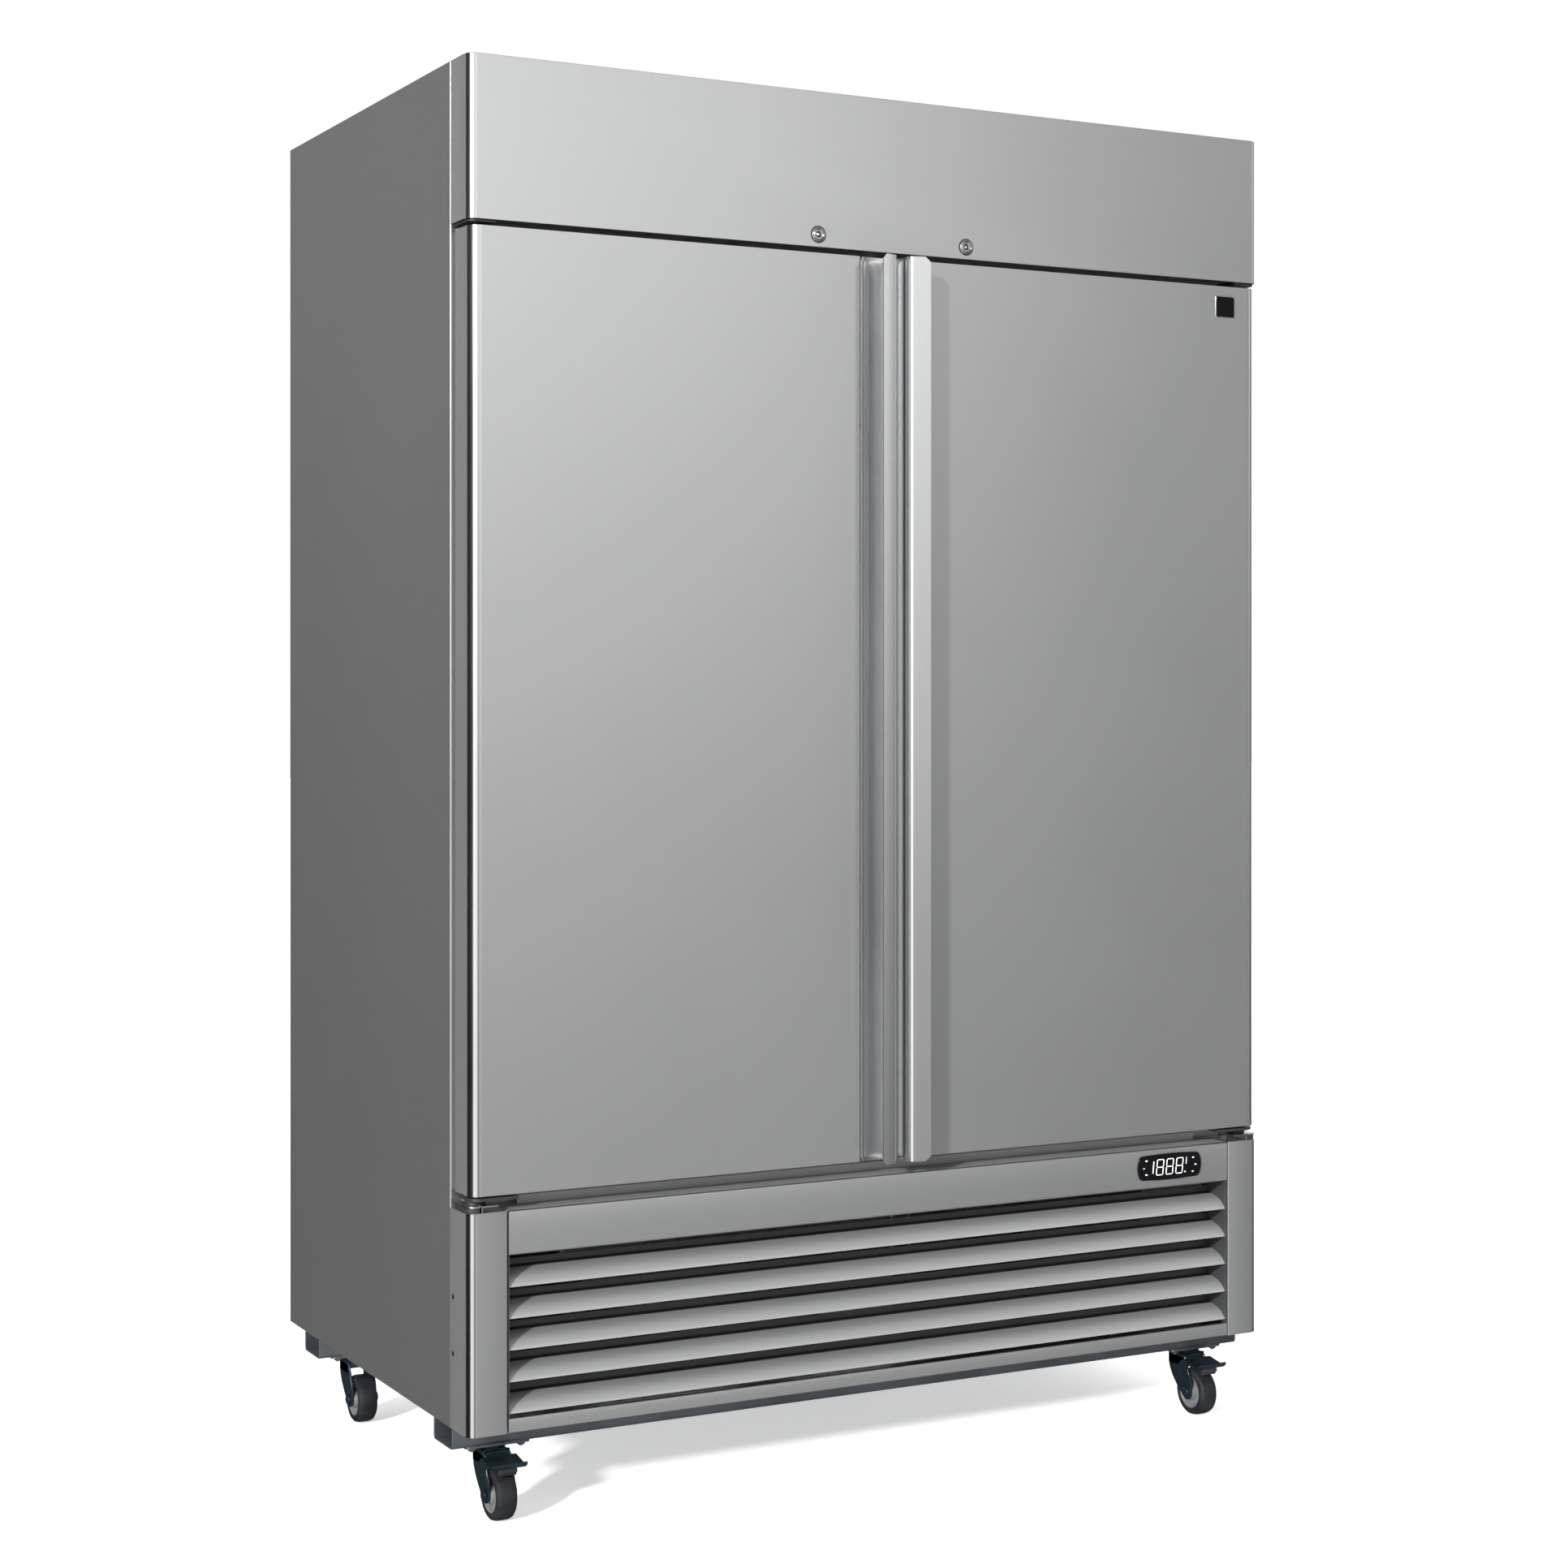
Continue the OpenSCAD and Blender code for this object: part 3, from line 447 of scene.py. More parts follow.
STEEL = (0.63, 0.635, 0.64)
M = {
    "steel_up": brushed("steel_upright_grain", "stainless", STEEL, 0.18, UPRIGHT, film=0.14),
    "steel_across": brushed("steel_long_grain", "stainless", STEEL, 0.18, ACROSS, film=0.15),
    "steel_side": brushed("steel_side_sheet", "stainless_side", (0.585, 0.59, 0.595), 0.24,
                          UPRIGHT, metal=0.91, tint=0.008, spread=0.015, bump=0.03),
    "handle": brushed("handle_satin", "handle_steel", (0.65, 0.655, 0.66), 0.15, UPRIGHT,
                      metal=0.95),
    "louver": brushed("louver_satin", "stainless", (0.4, 0.404, 0.408), 0.38, ACROSS, metal=0.5),
    "ledge": brushed("ledge_satin", "stainless", (0.36, 0.365, 0.37), 0.46, ACROSS, metal=0.45),
    # Near-black finish used as painted shade on the louvers' cheeks and rear flanges, where those
    # parts sit in shadow.
    "painted_shade": brushed("grille_painted_shade", "black_metal", (0.05, 0.052, 0.055), 0.45, ACROSS,
                      metal=0.3),
    "liner": brushed("liner_sheet", "liner_steel", (0.72, 0.725, 0.73), 0.32, UPRIGHT),
    "galvanized": surface("galvanized_spangle", "galvanized", (0.56, 0.575, 0.59), 0.42,
                          (70.0, 70.0, 70.0), metal=0.8, tint=0.07, spread=0.07, bump=0.04,
                          blotch=60.0),
    "zinc": surface("zinc_blue_plate", "zinc", (0.075, 0.115, 0.14), 0.17, metal=0.9,
                    tint=0.1, spread=0.05, bump=0.08, blotch=14.0),
    "channel": surface("channel_zinc", "zinc", (0.24, 0.26, 0.29), 0.34, metal=0.9,
                       tint=0.08, spread=0.06, bump=0.08, blotch=9.0),
    "chrome": surface("lock_chrome", "chrome", (0.6, 0.605, 0.61), 0.07, metal=1.0,
                      tint=0.02, spread=0.03, bump=0.03, blotch=30.0),
    "plate": surface("hinge_plate", "chrome", (0.8, 0.8, 0.8), 0.2, metal=1.0,
                     tint=0.02, spread=0.04, bump=0.05, blotch=22.0),
    "aluminium": surface("fin_aluminium", "aluminium", (0.7, 0.71, 0.72), 0.36, metal=1.0,
                         tint=0.06, spread=0.08, bump=0.1),
    "coil": surface("coil_metal", "coil_copper", (0.5, 0.47, 0.44), 0.4, metal=1.0,
                    tint=0.12, spread=0.08, bump=0.1, blotch=20.0),
    "copper": surface("pipe_copper", "coil_copper", (0.62, 0.33, 0.2), 0.3, metal=1.0,
                      tint=0.15, spread=0.1, bump=0.08, blotch=30.0),
    "strip": surface("face_strip", "strip_plastic", (0.5, 0.51, 0.52), 0.42, tint=0.03,
                     bump=0.12, depth=0.04),
    "light_grey": surface("moulded_grey", "grey_plastic", (0.5, 0.51, 0.52), 0.48,
                          tint=0.04, bump=0.25),
    "black": surface("moulded_black", "black_plastic", (0.016, 0.016, 0.018), 0.5,
                     (900.0, 900.0, 900.0), tint=0.3, spread=0.08, bump=0.35, depth=0.06),
    "black_paint": surface("compressor_enamel", "black_metal", (0.02, 0.02, 0.022), 0.3,
                           tint=0.25, spread=0.07, bump=0.2, depth=0.08, coat=0.4),
    "glass": surface("display_gloss", "black_gloss", (0.004, 0.004, 0.005), 0.2,
                     tint=0.2, spread=0.05, bump=0.02, shine=0.15),
    "digits": surface("display_digits", "lamp", (0.9, 0.92, 0.93), 0.4, tint=0.03, glow=0.75),
    "mark": surface("display_marks", "lamp", (0.42, 0.43, 0.44), 0.4, tint=0.05, glow=0.3),
    "gasket": surface("gasket_vinyl", "gasket", (0.022, 0.022, 0.025), 0.56, (260.0, 260.0, 260.0),
                      tint=0.2, spread=0.08, bump=0.3, depth=0.08),
    "tyre": surface("tyre_rubber", "tyre_grey", (0.011, 0.0125, 0.015), 0.55,
                    (700.0, 700.0, 700.0), tint=0.25, spread=0.1, bump=0.4, depth=0.08,
                    blotch=40.0, shine=0.3),
    "hub": surface("hub_grey", "tyre_grey", (0.13, 0.135, 0.13), 0.45, tint=0.12,
                   spread=0.07, bump=0.25, blotch=40.0),
    "wire": surface("shelf_coating", "wire_coat", (0.7, 0.71, 0.71), 0.3, tint=0.03,
                    bump=0.3, depth=0.1, coat=0.3),
    "lamp": surface("lamp_lens", "lamp", (0.9, 0.91, 0.88), 0.35, (1200.0, 60.0, 60.0), tint=0.02,
                    bump=0.3, depth=0.1, glow=1.2),
    "foam": surface("foam_cells", "foam", (0.72, 0.6, 0.33), 0.85, (500.0, 500.0, 500.0),
                    tint=0.15, spread=0.05, bump=0.7, depth=0.4),
}


# ---- outer shell ----


def side_panel(side):
    """Side sheet, bent round the front corner and over the back panel's edge."""
    r = 2.5
    path = [(-HALF_W + 30, Y_FACE)]
    path += arc(-HALF_W + r, Y_FACE + r, r, 270, 180, 10)
    path += arc(-HALF_W + r, Y_BACK - r, r, 180, 90)
    path += [(-HALF_W + 18, Y_BACK)]
    shape = Shape().prism(thicken(path, -SHEET), "z", BASE_Z, TOP_Z).mirrored(side)
    piece(f"side_panel_{side}", shape, "steel_side", 0.35)


def back_panel():
    """Back sheet between the side sheets' returns, with three pressed ribs."""
    y = Y_BACK - 1.45
    x = HALF_W - 18.3
    shape = Shape().box((-x, y, DECK_Z + 1.8), (x, y + 0.7, TOP_Z - 0.6))
    for cx in (-360, 0, 360):
        rib = rounded(cx, (DECK_Z + TOP_Z) / 2, 26, TOP_Z - DECK_Z - 180, 12.9)
        shape.prism(rib, "y", y + 0.2, y + 1.42)
    piece("back_panel", shape, "galvanized", 0.6, 3)


def top_panel():
    """Top sheet with folded edges and two pressed ribs."""
    x, y0, y1 = HALF_W - SHEET - 0.2, Y_FACE + 0.4, Y_BACK - SHEET - 0.2
    section = [(-x, TOP_Z - 16)] + arc(-x + 2, TOP_Z - 2, 2, 180, 90, 5)
    section += arc(x - 2, TOP_Z - 2, 2, 90, 0, 5) + [(x, TOP_Z - 16)]
    shape = Shape().prism(thicken(section, -SHEET), "y", y0, y1)
    for cx in (-350, 350):
        rib = rounded(cx, (y0 + y1) / 2, 22, y1 - y0 - 120, 10.9)
        shape.prism(rib, "z", TOP_Z - 2.2, TOP_Z - 0.4)
    piece("top_panel", shape, "galvanized", 0.4)


def wrap_path(rear_y):
    """Plan of a front corner on the left: a joggled side and a round corner."""
    step = 1.0
    return [(-HALF_W, rear_y), (-HALF_W, Y_FRONT + 21), (-HALF_W + step, Y_FRONT + 16)] + arc(
        -HALF_W + step + POST_R, Y_FRONT + POST_R, POST_R, 180, 270, 20
    )


def mirror_path(path):
    return [(-x, y) for x, y in reversed(path)]


def header_panel():
    """Header over the doors, with a hole for each lock."""
    plan = wrap_path(Y_FACE - 1.6)
    shape = Shape().prism(plan + mirror_path(plan), "z", HEADER_Z, TOP_Z)
    holes = Shape()
    for x in (-LOCK_AT.x, LOCK_AT.x):
        holes.rod((x, Y_FRONT - 5, LOCK_AT.z), "y", 11.2, 32, 40)
    shape.carved(holes)
    piece("header_panel", shape, "steel_across", 0.7, 3)


def corner_post(side):
    """Post beside the louvers: a wrapped sheet with a lid."""
    path = wrap_path(Y_FACE - 0.2) + arc(POST_X - 1.6, Y_FRONT + 1.6, 1.6, 270, 360, 5)
    path += [(POST_X, Y_FRONT + 52)]
    shape = Shape().prism(thicken(path, SHEET), "z", BASE_Z, LEDGE_Z - 0.3)
    lid = path[:-1] + [(POST_X, Y_FACE - 0.2)]
    x_in, y_in = -HALF_W + SHEET + 0.9, Y_FRONT + SHEET
    inner = [(max(x, x_in), y + (SHEET if y < y_in else 0)) for x, y in lid]
    shape.prism(inner, "z", LEDGE_Z - SHEET, LEDGE_Z - 0.1).mirrored(side)
    piece(f"corner_post_{side}", shape, "steel_up", 0.4)


# ---- lower front ----

LOUVER_COUNT = 5
LOUVER_PITCH = 45.0
FASCIA_Z = 394.0
RAIL_Z = 162.0


def grille_frame():
    """Fascia, ledge and sill bent from one sheet, lower rail, and the louvers' cheeks."""
    y, x, t, rear = Y_FRONT, GRILLE_X, 1.5, Y_FRONT + 69.5
    fascia = [(y + 14, FASCIA_Z)] + arc(y + 1.6, FASCIA_Z + 1.6, 1.6, 270, 180, 4)
    fascia += arc(y + 2.2, LEDGE_Z - 2.2, 2.2, 180, 90, 6) + [(y + 4, LEDGE_Z)]
    ledge = [(y + 3.9, LEDGE_Z), (rear, LEDGE_Z)]
    sill = [(y + 49, LEDGE_Z - 0.6)] + arc(y + 51, SILL_Z - 2, 2, 180, 90, 6) + [(rear, SILL_Z)]
    rail = [(y + 13, RAIL_Z)] + arc(y + 1.6, RAIL_Z - 1.6, 1.6, 90, 180, 4)
    rail += arc(y + 1.6, BASE_Z + 1.6, 1.6, 180, 270, 4) + [(rear, BASE_Z)]
    shape = Shape()
    shape.prism(thicken(fascia, -t), "x", -x, x)
    shape.prism(thicken(rail, t), "x", -x, x)
    piece("grille_frame", shape, "steel_across", 0.4)
    sills = Shape().prism(thicken(ledge, -t), "x", -x, x)
    sills.prism(thicken(sill, -t), "x", -x + 32, x - 32)
    piece("grille_ledge", sills, "ledge", 0.4)
    # The cheeks take the near-black finish: painted shade on their inner faces, which the key
    # light would otherwise light.
    cheeks = Shape()
    for end in (-x, x - t):
        cheeks.box((end, y + 1.6, BASE_Z + t), (end + t, y + 68, LEDGE_Z - t))
    piece("grille_cheeks", cheeks, "painted_shade", 0.4)


def louvers():
    """Curved slats, each with a folded lower lip and an upturned rear flange."""
    x = GRILLE_X - 1.6
    slat = [(4.6, -17.8), (4.6, -15.6), (6.4, -12.9), (9, -10.2), (12.5, -7), (17, -4.2)]
    slat += [(22, -2), (28, -0.2), (34.5, 1.5), (41, 2.8), (47, 3.3), (50.4, 3.5), (52, 4.4)]
    slat += [(52.6, 6), (52.6, 12.9)]
    faces, flanges = Shape(), Shape()
    for i in range(LOUVER_COUNT):
        z = FASCIA_Z - 29 - i * LOUVER_PITCH
        for shape, path in ((faces, slat[:10]), (flanges, slat[9:])):
            outline = [(Y_FRONT + u, z + v) for u, v in thicken(path, -1.5)]
            shape.prism(outline, "x", -x, x)
    piece("grille_louvers", faces, "louver", 0.35)
    # The rear flanges are painted near-black as the shade that the slat above casts on them.
    piece("louver_flanges", flanges, "painted_shade", 0.2)


def bezel_outline(cx, cz, w, h):
    """Display outline: four bulging sides and small round corners."""
    sides = ((w / 2, h / 2 - 2, 5.0, 0), (h / 2, w / 2 - 5, 2.0, 90))
    points = []
    for turn in (0, 180):
        for reach, half, bulge, base in sides:
            r = (half * half + bulge * bulge) / (2 * bulge)
            a = math.degrees(math.asin((half - 2.5) / r))
            away = math.radians(base + turn)
            c = (cx + (reach - r) * math.cos(away), cz + (reach - r) * math.sin(away))
            points += arc(*c, r, base + turn - a, base + turn + a, 12)
    return points


def display():
    """Gloss bezel with lit seven-segment figures and small marks beside them."""
    low, high = corners("display_module")
    cx, cz = (low.x + high.x) / 2, (low.z + high.z) / 2
    y = low.y
    w, h = high.x - low.x, high.z - low.z
    bezel = Shape().prism(bezel_outline(cx, cz, w, h), "y", y + 0.3, Y_FRONT)
    bezel.box((cx - 56, Y_FRONT - 0.5, cz - 16), (cx + 56, Y_FRONT + 28, cz + 16))
    piece("display_bezel", bezel, "glass", 0.9, 3, ["display_module"])

    slant, stroke = math.tan(math.radians(6)), 1.1

    def bar(shape, u0, v0, u1, v1, r=stroke / 2):
        """A lit bar with round ends, leaning like the figures."""
        p = Vector((u0 + v0 * slant, v0))
        q = Vector((u1 + v1 * slant, v1))
        a = math.degrees(math.atan2(q.y - p.y, q.x - p.x))
        outline = arc(cx + q.x, cz + q.y, r, a - 90, a + 90, 6)
        outline += arc(cx + p.x, cz + p.y, r, a + 90, a + 270, 6)
        shape.prism(outline, "y", y - 0.1, y + 0.6)

    lit, dim = Shape(), Shape()
    half_w, half_h, inset = 6.3, 12.2, 1.3
    for k in (-1, 0, 1):
        u = k * 19.0 - 0.4
        for v in (-half_h, 0, half_h):
            bar(lit, u - half_w + inset, v, u + half_w - inset, v)
        for s in (-1, 1):
            for v in (inset, inset - half_h):
                bar(lit, u + s * half_w, v, u + s * half_w, v + half_h - 2 * inset)
    bar(lit, 30.6, -10.8, 30.6, -10.7, 1.1)
    bar(lit, -32.5, -8.6, -32.5, 9.4, 0.7)
    for u, v, r in ((-45, -10.4, 1.1), (-47.4, 11.8, 1.1), (44.6, 11, 1.0)):
        bar(lit, u - 0.8, v, u + 0.8, v, r)
    bar(dim, 31.5, 2, 31.5, 12, 0.8)
    for u, v, r in ((46, -11.5, 1.1), (50.5, -0.5, 1.2), (-50.7, 0, 0.9)):
        bar(dim, u - 0.9, v, u + 0.9, v, r)
    piece("display_figures", lit, "digits", 0)
    piece("display_marks", dim, "mark", 0)


def hinge_brackets(side):
    """Lower bracket with spacer, slit plate, leg and pin; upper bracket with its pin."""
    x, y, top = -HALF_W, Y_FRONT, LEDGE_Z + 10
    spacer = [(x + 19, y + 1.5), (x + 19, y + 55), (x + 1.5, y + 55)]
    spacer += arc(x + 15, y + 15, 13.5, 180, 270, 12)
    shape = Shape().prism(spacer, "z", LEDGE_Z, top - 2.6)
    shape.rod((PIVOT.x, PIVOT.y, top - 0.1), "z", 15, 5.3, 40)
    upper = [(x + 44, y + 3), (x + 44, Y_FACE - 1), (x + 3, Y_FACE - 1)]
    upper += arc(x + 16, y + 16, 13, 180, 270, 12)
    shape.prism(upper, "z", HEADER_Z - 3.4, HEADER_Z - 0.1).mirrored(side)
    piece(f"hinge_spacers_{side}", shape, "black", 0.5, 2, [f"hinge_brackets_{side}"])

    plate = arc(x + 15, y + 15, 14.7, 180, 270, 14)
    plate += [(x + 19, y + 0.3), (x + 19, y + 9), (x + 21.5, y + 9), (x + 21.5, y + 0.3)]
    plate += [(x + 47, y + 0.3), (x + 47, y + 55), (x + 0.3, y + 55)]
    metal = Shape().prism(plate, "z", top - 2.4, top)
    metal.box((x + 21.5, y + 0.6, LEDGE_Z + 0.1), (x + 23, y + 55, top - 2.2))
    metal.rod((PIVOT.x, PIVOT.y, top), "z", 7, 28)
    metal.rod((PIVOT.x, PIVOT.y, DOOR_Z1 - 16), "z", 5, HEADER_Z - DOOR_Z1 + 14)
    piece(f"hinge_plates_{side}", metal.mirrored(side), "plate", 0.4)


# ---- locks ----


def lock(side):
    """Domed collar in the header, and a turning barrel with a round key groove whose depth is
    painted dark as shade.
    """
    at = Vector((LOCK_AT.x, Y_FRONT, LOCK_AT.z))

    def ring(profile, steps=64):
        return Shape().lathe(profile, at, "y", steps, ring=True).mirrored(side)

    seal = [(10.9, 0.2), (13, 0.2), (13, -0.5), (10.9, -0.7)]
    piece(f"lock_seal_{side}", ring(seal), "black", 0.1)
    collar = [(8.1, 24), (11, 24), (11, 0), (11.5, -0.3), (11.5, -1.1)]
    dome = ((0.35, 0.5), (0.9, 0.85), (1.6, 1.08), (2.2, 1.1))
    collar += [(11.5 - r, -1.1 - d) for r, d in dome]
    collar += [(8.9, -1.05), (8.3, -0.6), (8.1, 0.2)]
    piece(f"lock_collar_{side}", ring(collar), "chrome", 0.12, 2,
          ["lock_bodies"] if side == "left" else [])
    barrel = [(0, -0.9), (1.7, -0.9), (2.4, -0.3), (2.4, 3), (4.6, 3), (4.6, -0.6), (5.0, -1.0)]
    barrel += [(7.2, -1.0), (7.9, -0.4), (7.9, 26.5), (0, 26.5)]
    shape = Shape().lathe(barrel, at, "y", 64)
    shape.carved(Shape().box((at.x - 1, at.y - 3, at.z + 3.9), (at.x + 1, at.y + 2.6, at.z + 6.2)))
    shape.box((at.x - 5, at.y + 24.3, at.z - 6), (at.x + 5, at.y + 27, at.z + 22))
    # A black ring at the bottom of the key groove: painted shade inside the groove.
    groove_shade = [(2.3, 0.4), (4.7, 0.4), (4.7, 3.2), (2.3, 3.2)]
    piece(f"lock_groove_shade_{side}", ring(groove_shade, 48), "black", 0, body=f"lock_{side}")
    piece(f"lock_barrel_{side}", shape.mirrored(side), "chrome", 0.15, 2,
          [f"lock_cylinder_{side}"], body=f"lock_{side}")


# ---- doors ----


def handle_section():
    """Handle outline: u runs from the middle of the door gap, v forwards of the door."""
    g, o, depth = GAP, HANDLE_OUT, LINER_Y - Y_FRONT
    tip = BLADE_TIP
    return (
        [(g, -depth), (g, -2)]
        + arc(g - 19.8, 15.7, 26.6, -41.8, 8.2, 12)
        + arc(g + 18.8, o - 20.7, 12.8, 193, 116, 12)
        + [(tip - 0.8, o), (tip, o - 1.4), (tip - 0.8, o - 2.8)]
        + arc(g + 17, o - 15, 4, 100, 175, 8)
        + arc(g + 14.5, -0.2, 6, 180, 266, 10)
        + [(g + 40, -6.2), (g + 46, -5.6), (g + 49, -4.6), (-HANDLE_X - 1.2, -0.8)]
        + [(-HANDLE_X - 1.2, -8), (g + 5, -8), (g + 5, -depth)]
    )


def door_handle(side):
    """Full-height handle extrusion whose blade is cut across at both ends."""
    section = [(-u, Y_FRONT - v) for u, v in handle_section()]
    shape = Shape().prism(section, "z", DOOR_Z0, DOOR_Z1)
    cut, tip = 10.0, BLADE_TIP
    ends = Shape()
    for z, s in ((DOOR_Z0, 1), (DOOR_Z1, -1)):
        wedge = [(-tip - 2, z - s), (-tip + cut, z - s), (-tip - 2, z + s * (cut + 1))]
        ends.prism(wedge, "y", Y_FRONT - HANDLE_OUT - 2, Y_FRONT - 12)
    shape.carved(ends).mirrored(side)
    piece(f"door_handle_{side}", shape, "handle", 0.35, body=f"door_{side}")


def door_skin(side):
    """Door shell with a round outer corner."""
    rear = LINER_Y - 1.5
    plan = [(DOOR_X0, rear)] + arc(DOOR_X0 + DOOR_R, Y_FRONT + DOOR_R, DOOR_R, 180, 270, 24)
    edge = -GAP - 5.3
    plan += [(HANDLE_X, Y_FRONT), (HANDLE_X, Y_FRONT + 7.8), (edge, Y_FRONT + 8.2), (edge, rear)]
    shape = Shape().prism(plan, "z", DOOR_Z0, DOOR_Z1).mirrored(side)
    piece(f"door_skin_{side}", shape, "steel_up", 0.8, 3,
          [f"door_skin_{side}", f"door_foam_{side}"], body=f"door_{side}")


def door_liner(side):
    """Inner face of a door: a flat margin and a raised, bevelled panel."""
    low, high = corners("door_liner_left")
    shape = Shape().box((low.x + 0.4, low.y, low.z + 0.3), (high.x, LINER_Y, high.z - 0.3))
    inner, rise = (42.0, 38.0), 6.0
    rows = []
    for inset, y in ((0, 0), (5, rise), (26, rise), (31, rise - 3)):
        x0, x1 = low.x + inner[0] + inset, high.x - inner[0] - inset
        z0, z1 = low.z + inner[1] + inset, high.z - inner[1] - inset
        spots = rectangle(x0, z0, x1, z1)
        rows.append(shape.row((x, LINER_Y + y - 0.1, z) for x, z in spots))
    shape.bridge(rows)
    shape.bm.faces.new(rows[0])
    shape.bm.faces.new(rows[-1])
    piece(f"door_liner_{side}", shape.mirrored(side), "liner", 0.6, body=f"door_{side}")


GASKET_SECTION = [
    (3, 0), (17, 0), (17, 1.4), (14.6, 2.5), (17.4, 3.7), (19.2, 4.6), (20, 5.6), (20, 7.9),
    (19.4, 8.4), (0.6, 8.4), (0, 7.9), (0, 5.5), (1.8, 4.5), (4.8, 3.6), (2.6, 2.5), (3, 1.4),
]


def door_gasket(side):
    """Bellows gasket with its magnet bulb, mitred at the corners."""
    low, high = corners("door_gasket_left")
    shape = Shape()
    rows = []
    for u, v in GASKET_SECTION:
        spots = rectangle(low.x + u, low.z + u, high.x - u, high.z - u)
        rows.append(shape.row((x, low.y + v, z) for x, z in spots))
    shape.bridge(rows, closed=True)
    piece(f"door_gasket_{side}", shape.mirrored(side), "gasket", 0.35, body=f"door_{side}")


def hinge_bushes(side):
    """Bushes in the door's corners, and the plate under its lower corner."""
    x, y = DOOR_X0 + 1, Y_FRONT + 1
    plate = [(x + 73, y), (x + 73, y + 49), (x, y + 49)]
    plate += arc(x + DOOR_R, y + DOOR_R, DOOR_R, 180, 270, 14)
    shape = Shape().prism(plate, "z", DOOR_Z0 - 6.8, DOOR_Z0 - 2.3)
    piece(f"hinge_foot_{side}", shape.mirrored(side), "black_paint", 0.5, body=f"door_{side}")
    bush = Shape()
    lower = (DOOR_Z0 - 6.6, DOOR_Z0 + 4, 16, 7.2)
    upper = (DOOR_Z1 - 6, DOOR_Z1 + 0.5, 14, 5.2)
    for z0, z1, r, hole in (lower, upper):
        ring = [(hole, z0), (r, z0), (r, z1), (hole, z1)]
        bush.lathe(ring, (PIVOT.x, PIVOT.y, 0), "z", 40, ring=True)
    piece(f"hinge_bushes_{side}", bush.mirrored(side), "black", 0.4, body=f"door_{side}")


def badge():
    """Plain name plate without any mark, on the right-hand door."""
    w, h, x, z = 38.0, 35.0, 625.0, 1820.0
    x0, x1, z0, z1 = x - w / 2, x + w / 2, z - h / 2, z + h / 2
    outline = arc(x1 - 4.5, z1 - 4.5, 4.5, 0, 90) + arc(x0 + 1, z1 - 1, 1, 90, 180, 3)
    outline += arc(x0 + 3.5, z0 + 3.5, 3.5, 180, 270) + arc(x1 - 2.5, z0 + 2.5, 2.5, 270, 360)
    rim = Shape().prism(outline, "y", Y_FRONT - 0.9, Y_FRONT + 0.3)
    piece("badge_rim", rim, "plate", 0.3, body="door_right")
    face = [(x + (u - x) * 0.94, z + (v - z) * 0.94) for u, v in outline]
    face = Shape().prism(face, "y", Y_FRONT - 1.3, Y_FRONT)
    piece("badge_face", face, "glass", 0.3, body="door_right")


# ---- base and casters ----


def base_channels():
    """Two U channels across the underside, open at their ends."""
    low, high = corners("base_channels")
    shape = Shape()
    width = 75.0
    for y in (low.y, high.y - width):
        path = [(y, BASE_Z - 0.2)] + arc(y + 6, CHANNEL_Z + 6, 6, 180, 270, 8)
        path += arc(y + width - 6, CHANNEL_Z + 6, 6, 270, 360, 8) + [(y + width, BASE_Z - 0.2)]
        shape.prism(thicken(path, 3), "x", low.x, high.x)
    piece("base_channels", shape, "channel", 0.6)


def hexagon(cx, cy, across):
    return arc(cx, cy, across / math.sqrt(3), 0, 300, 5)


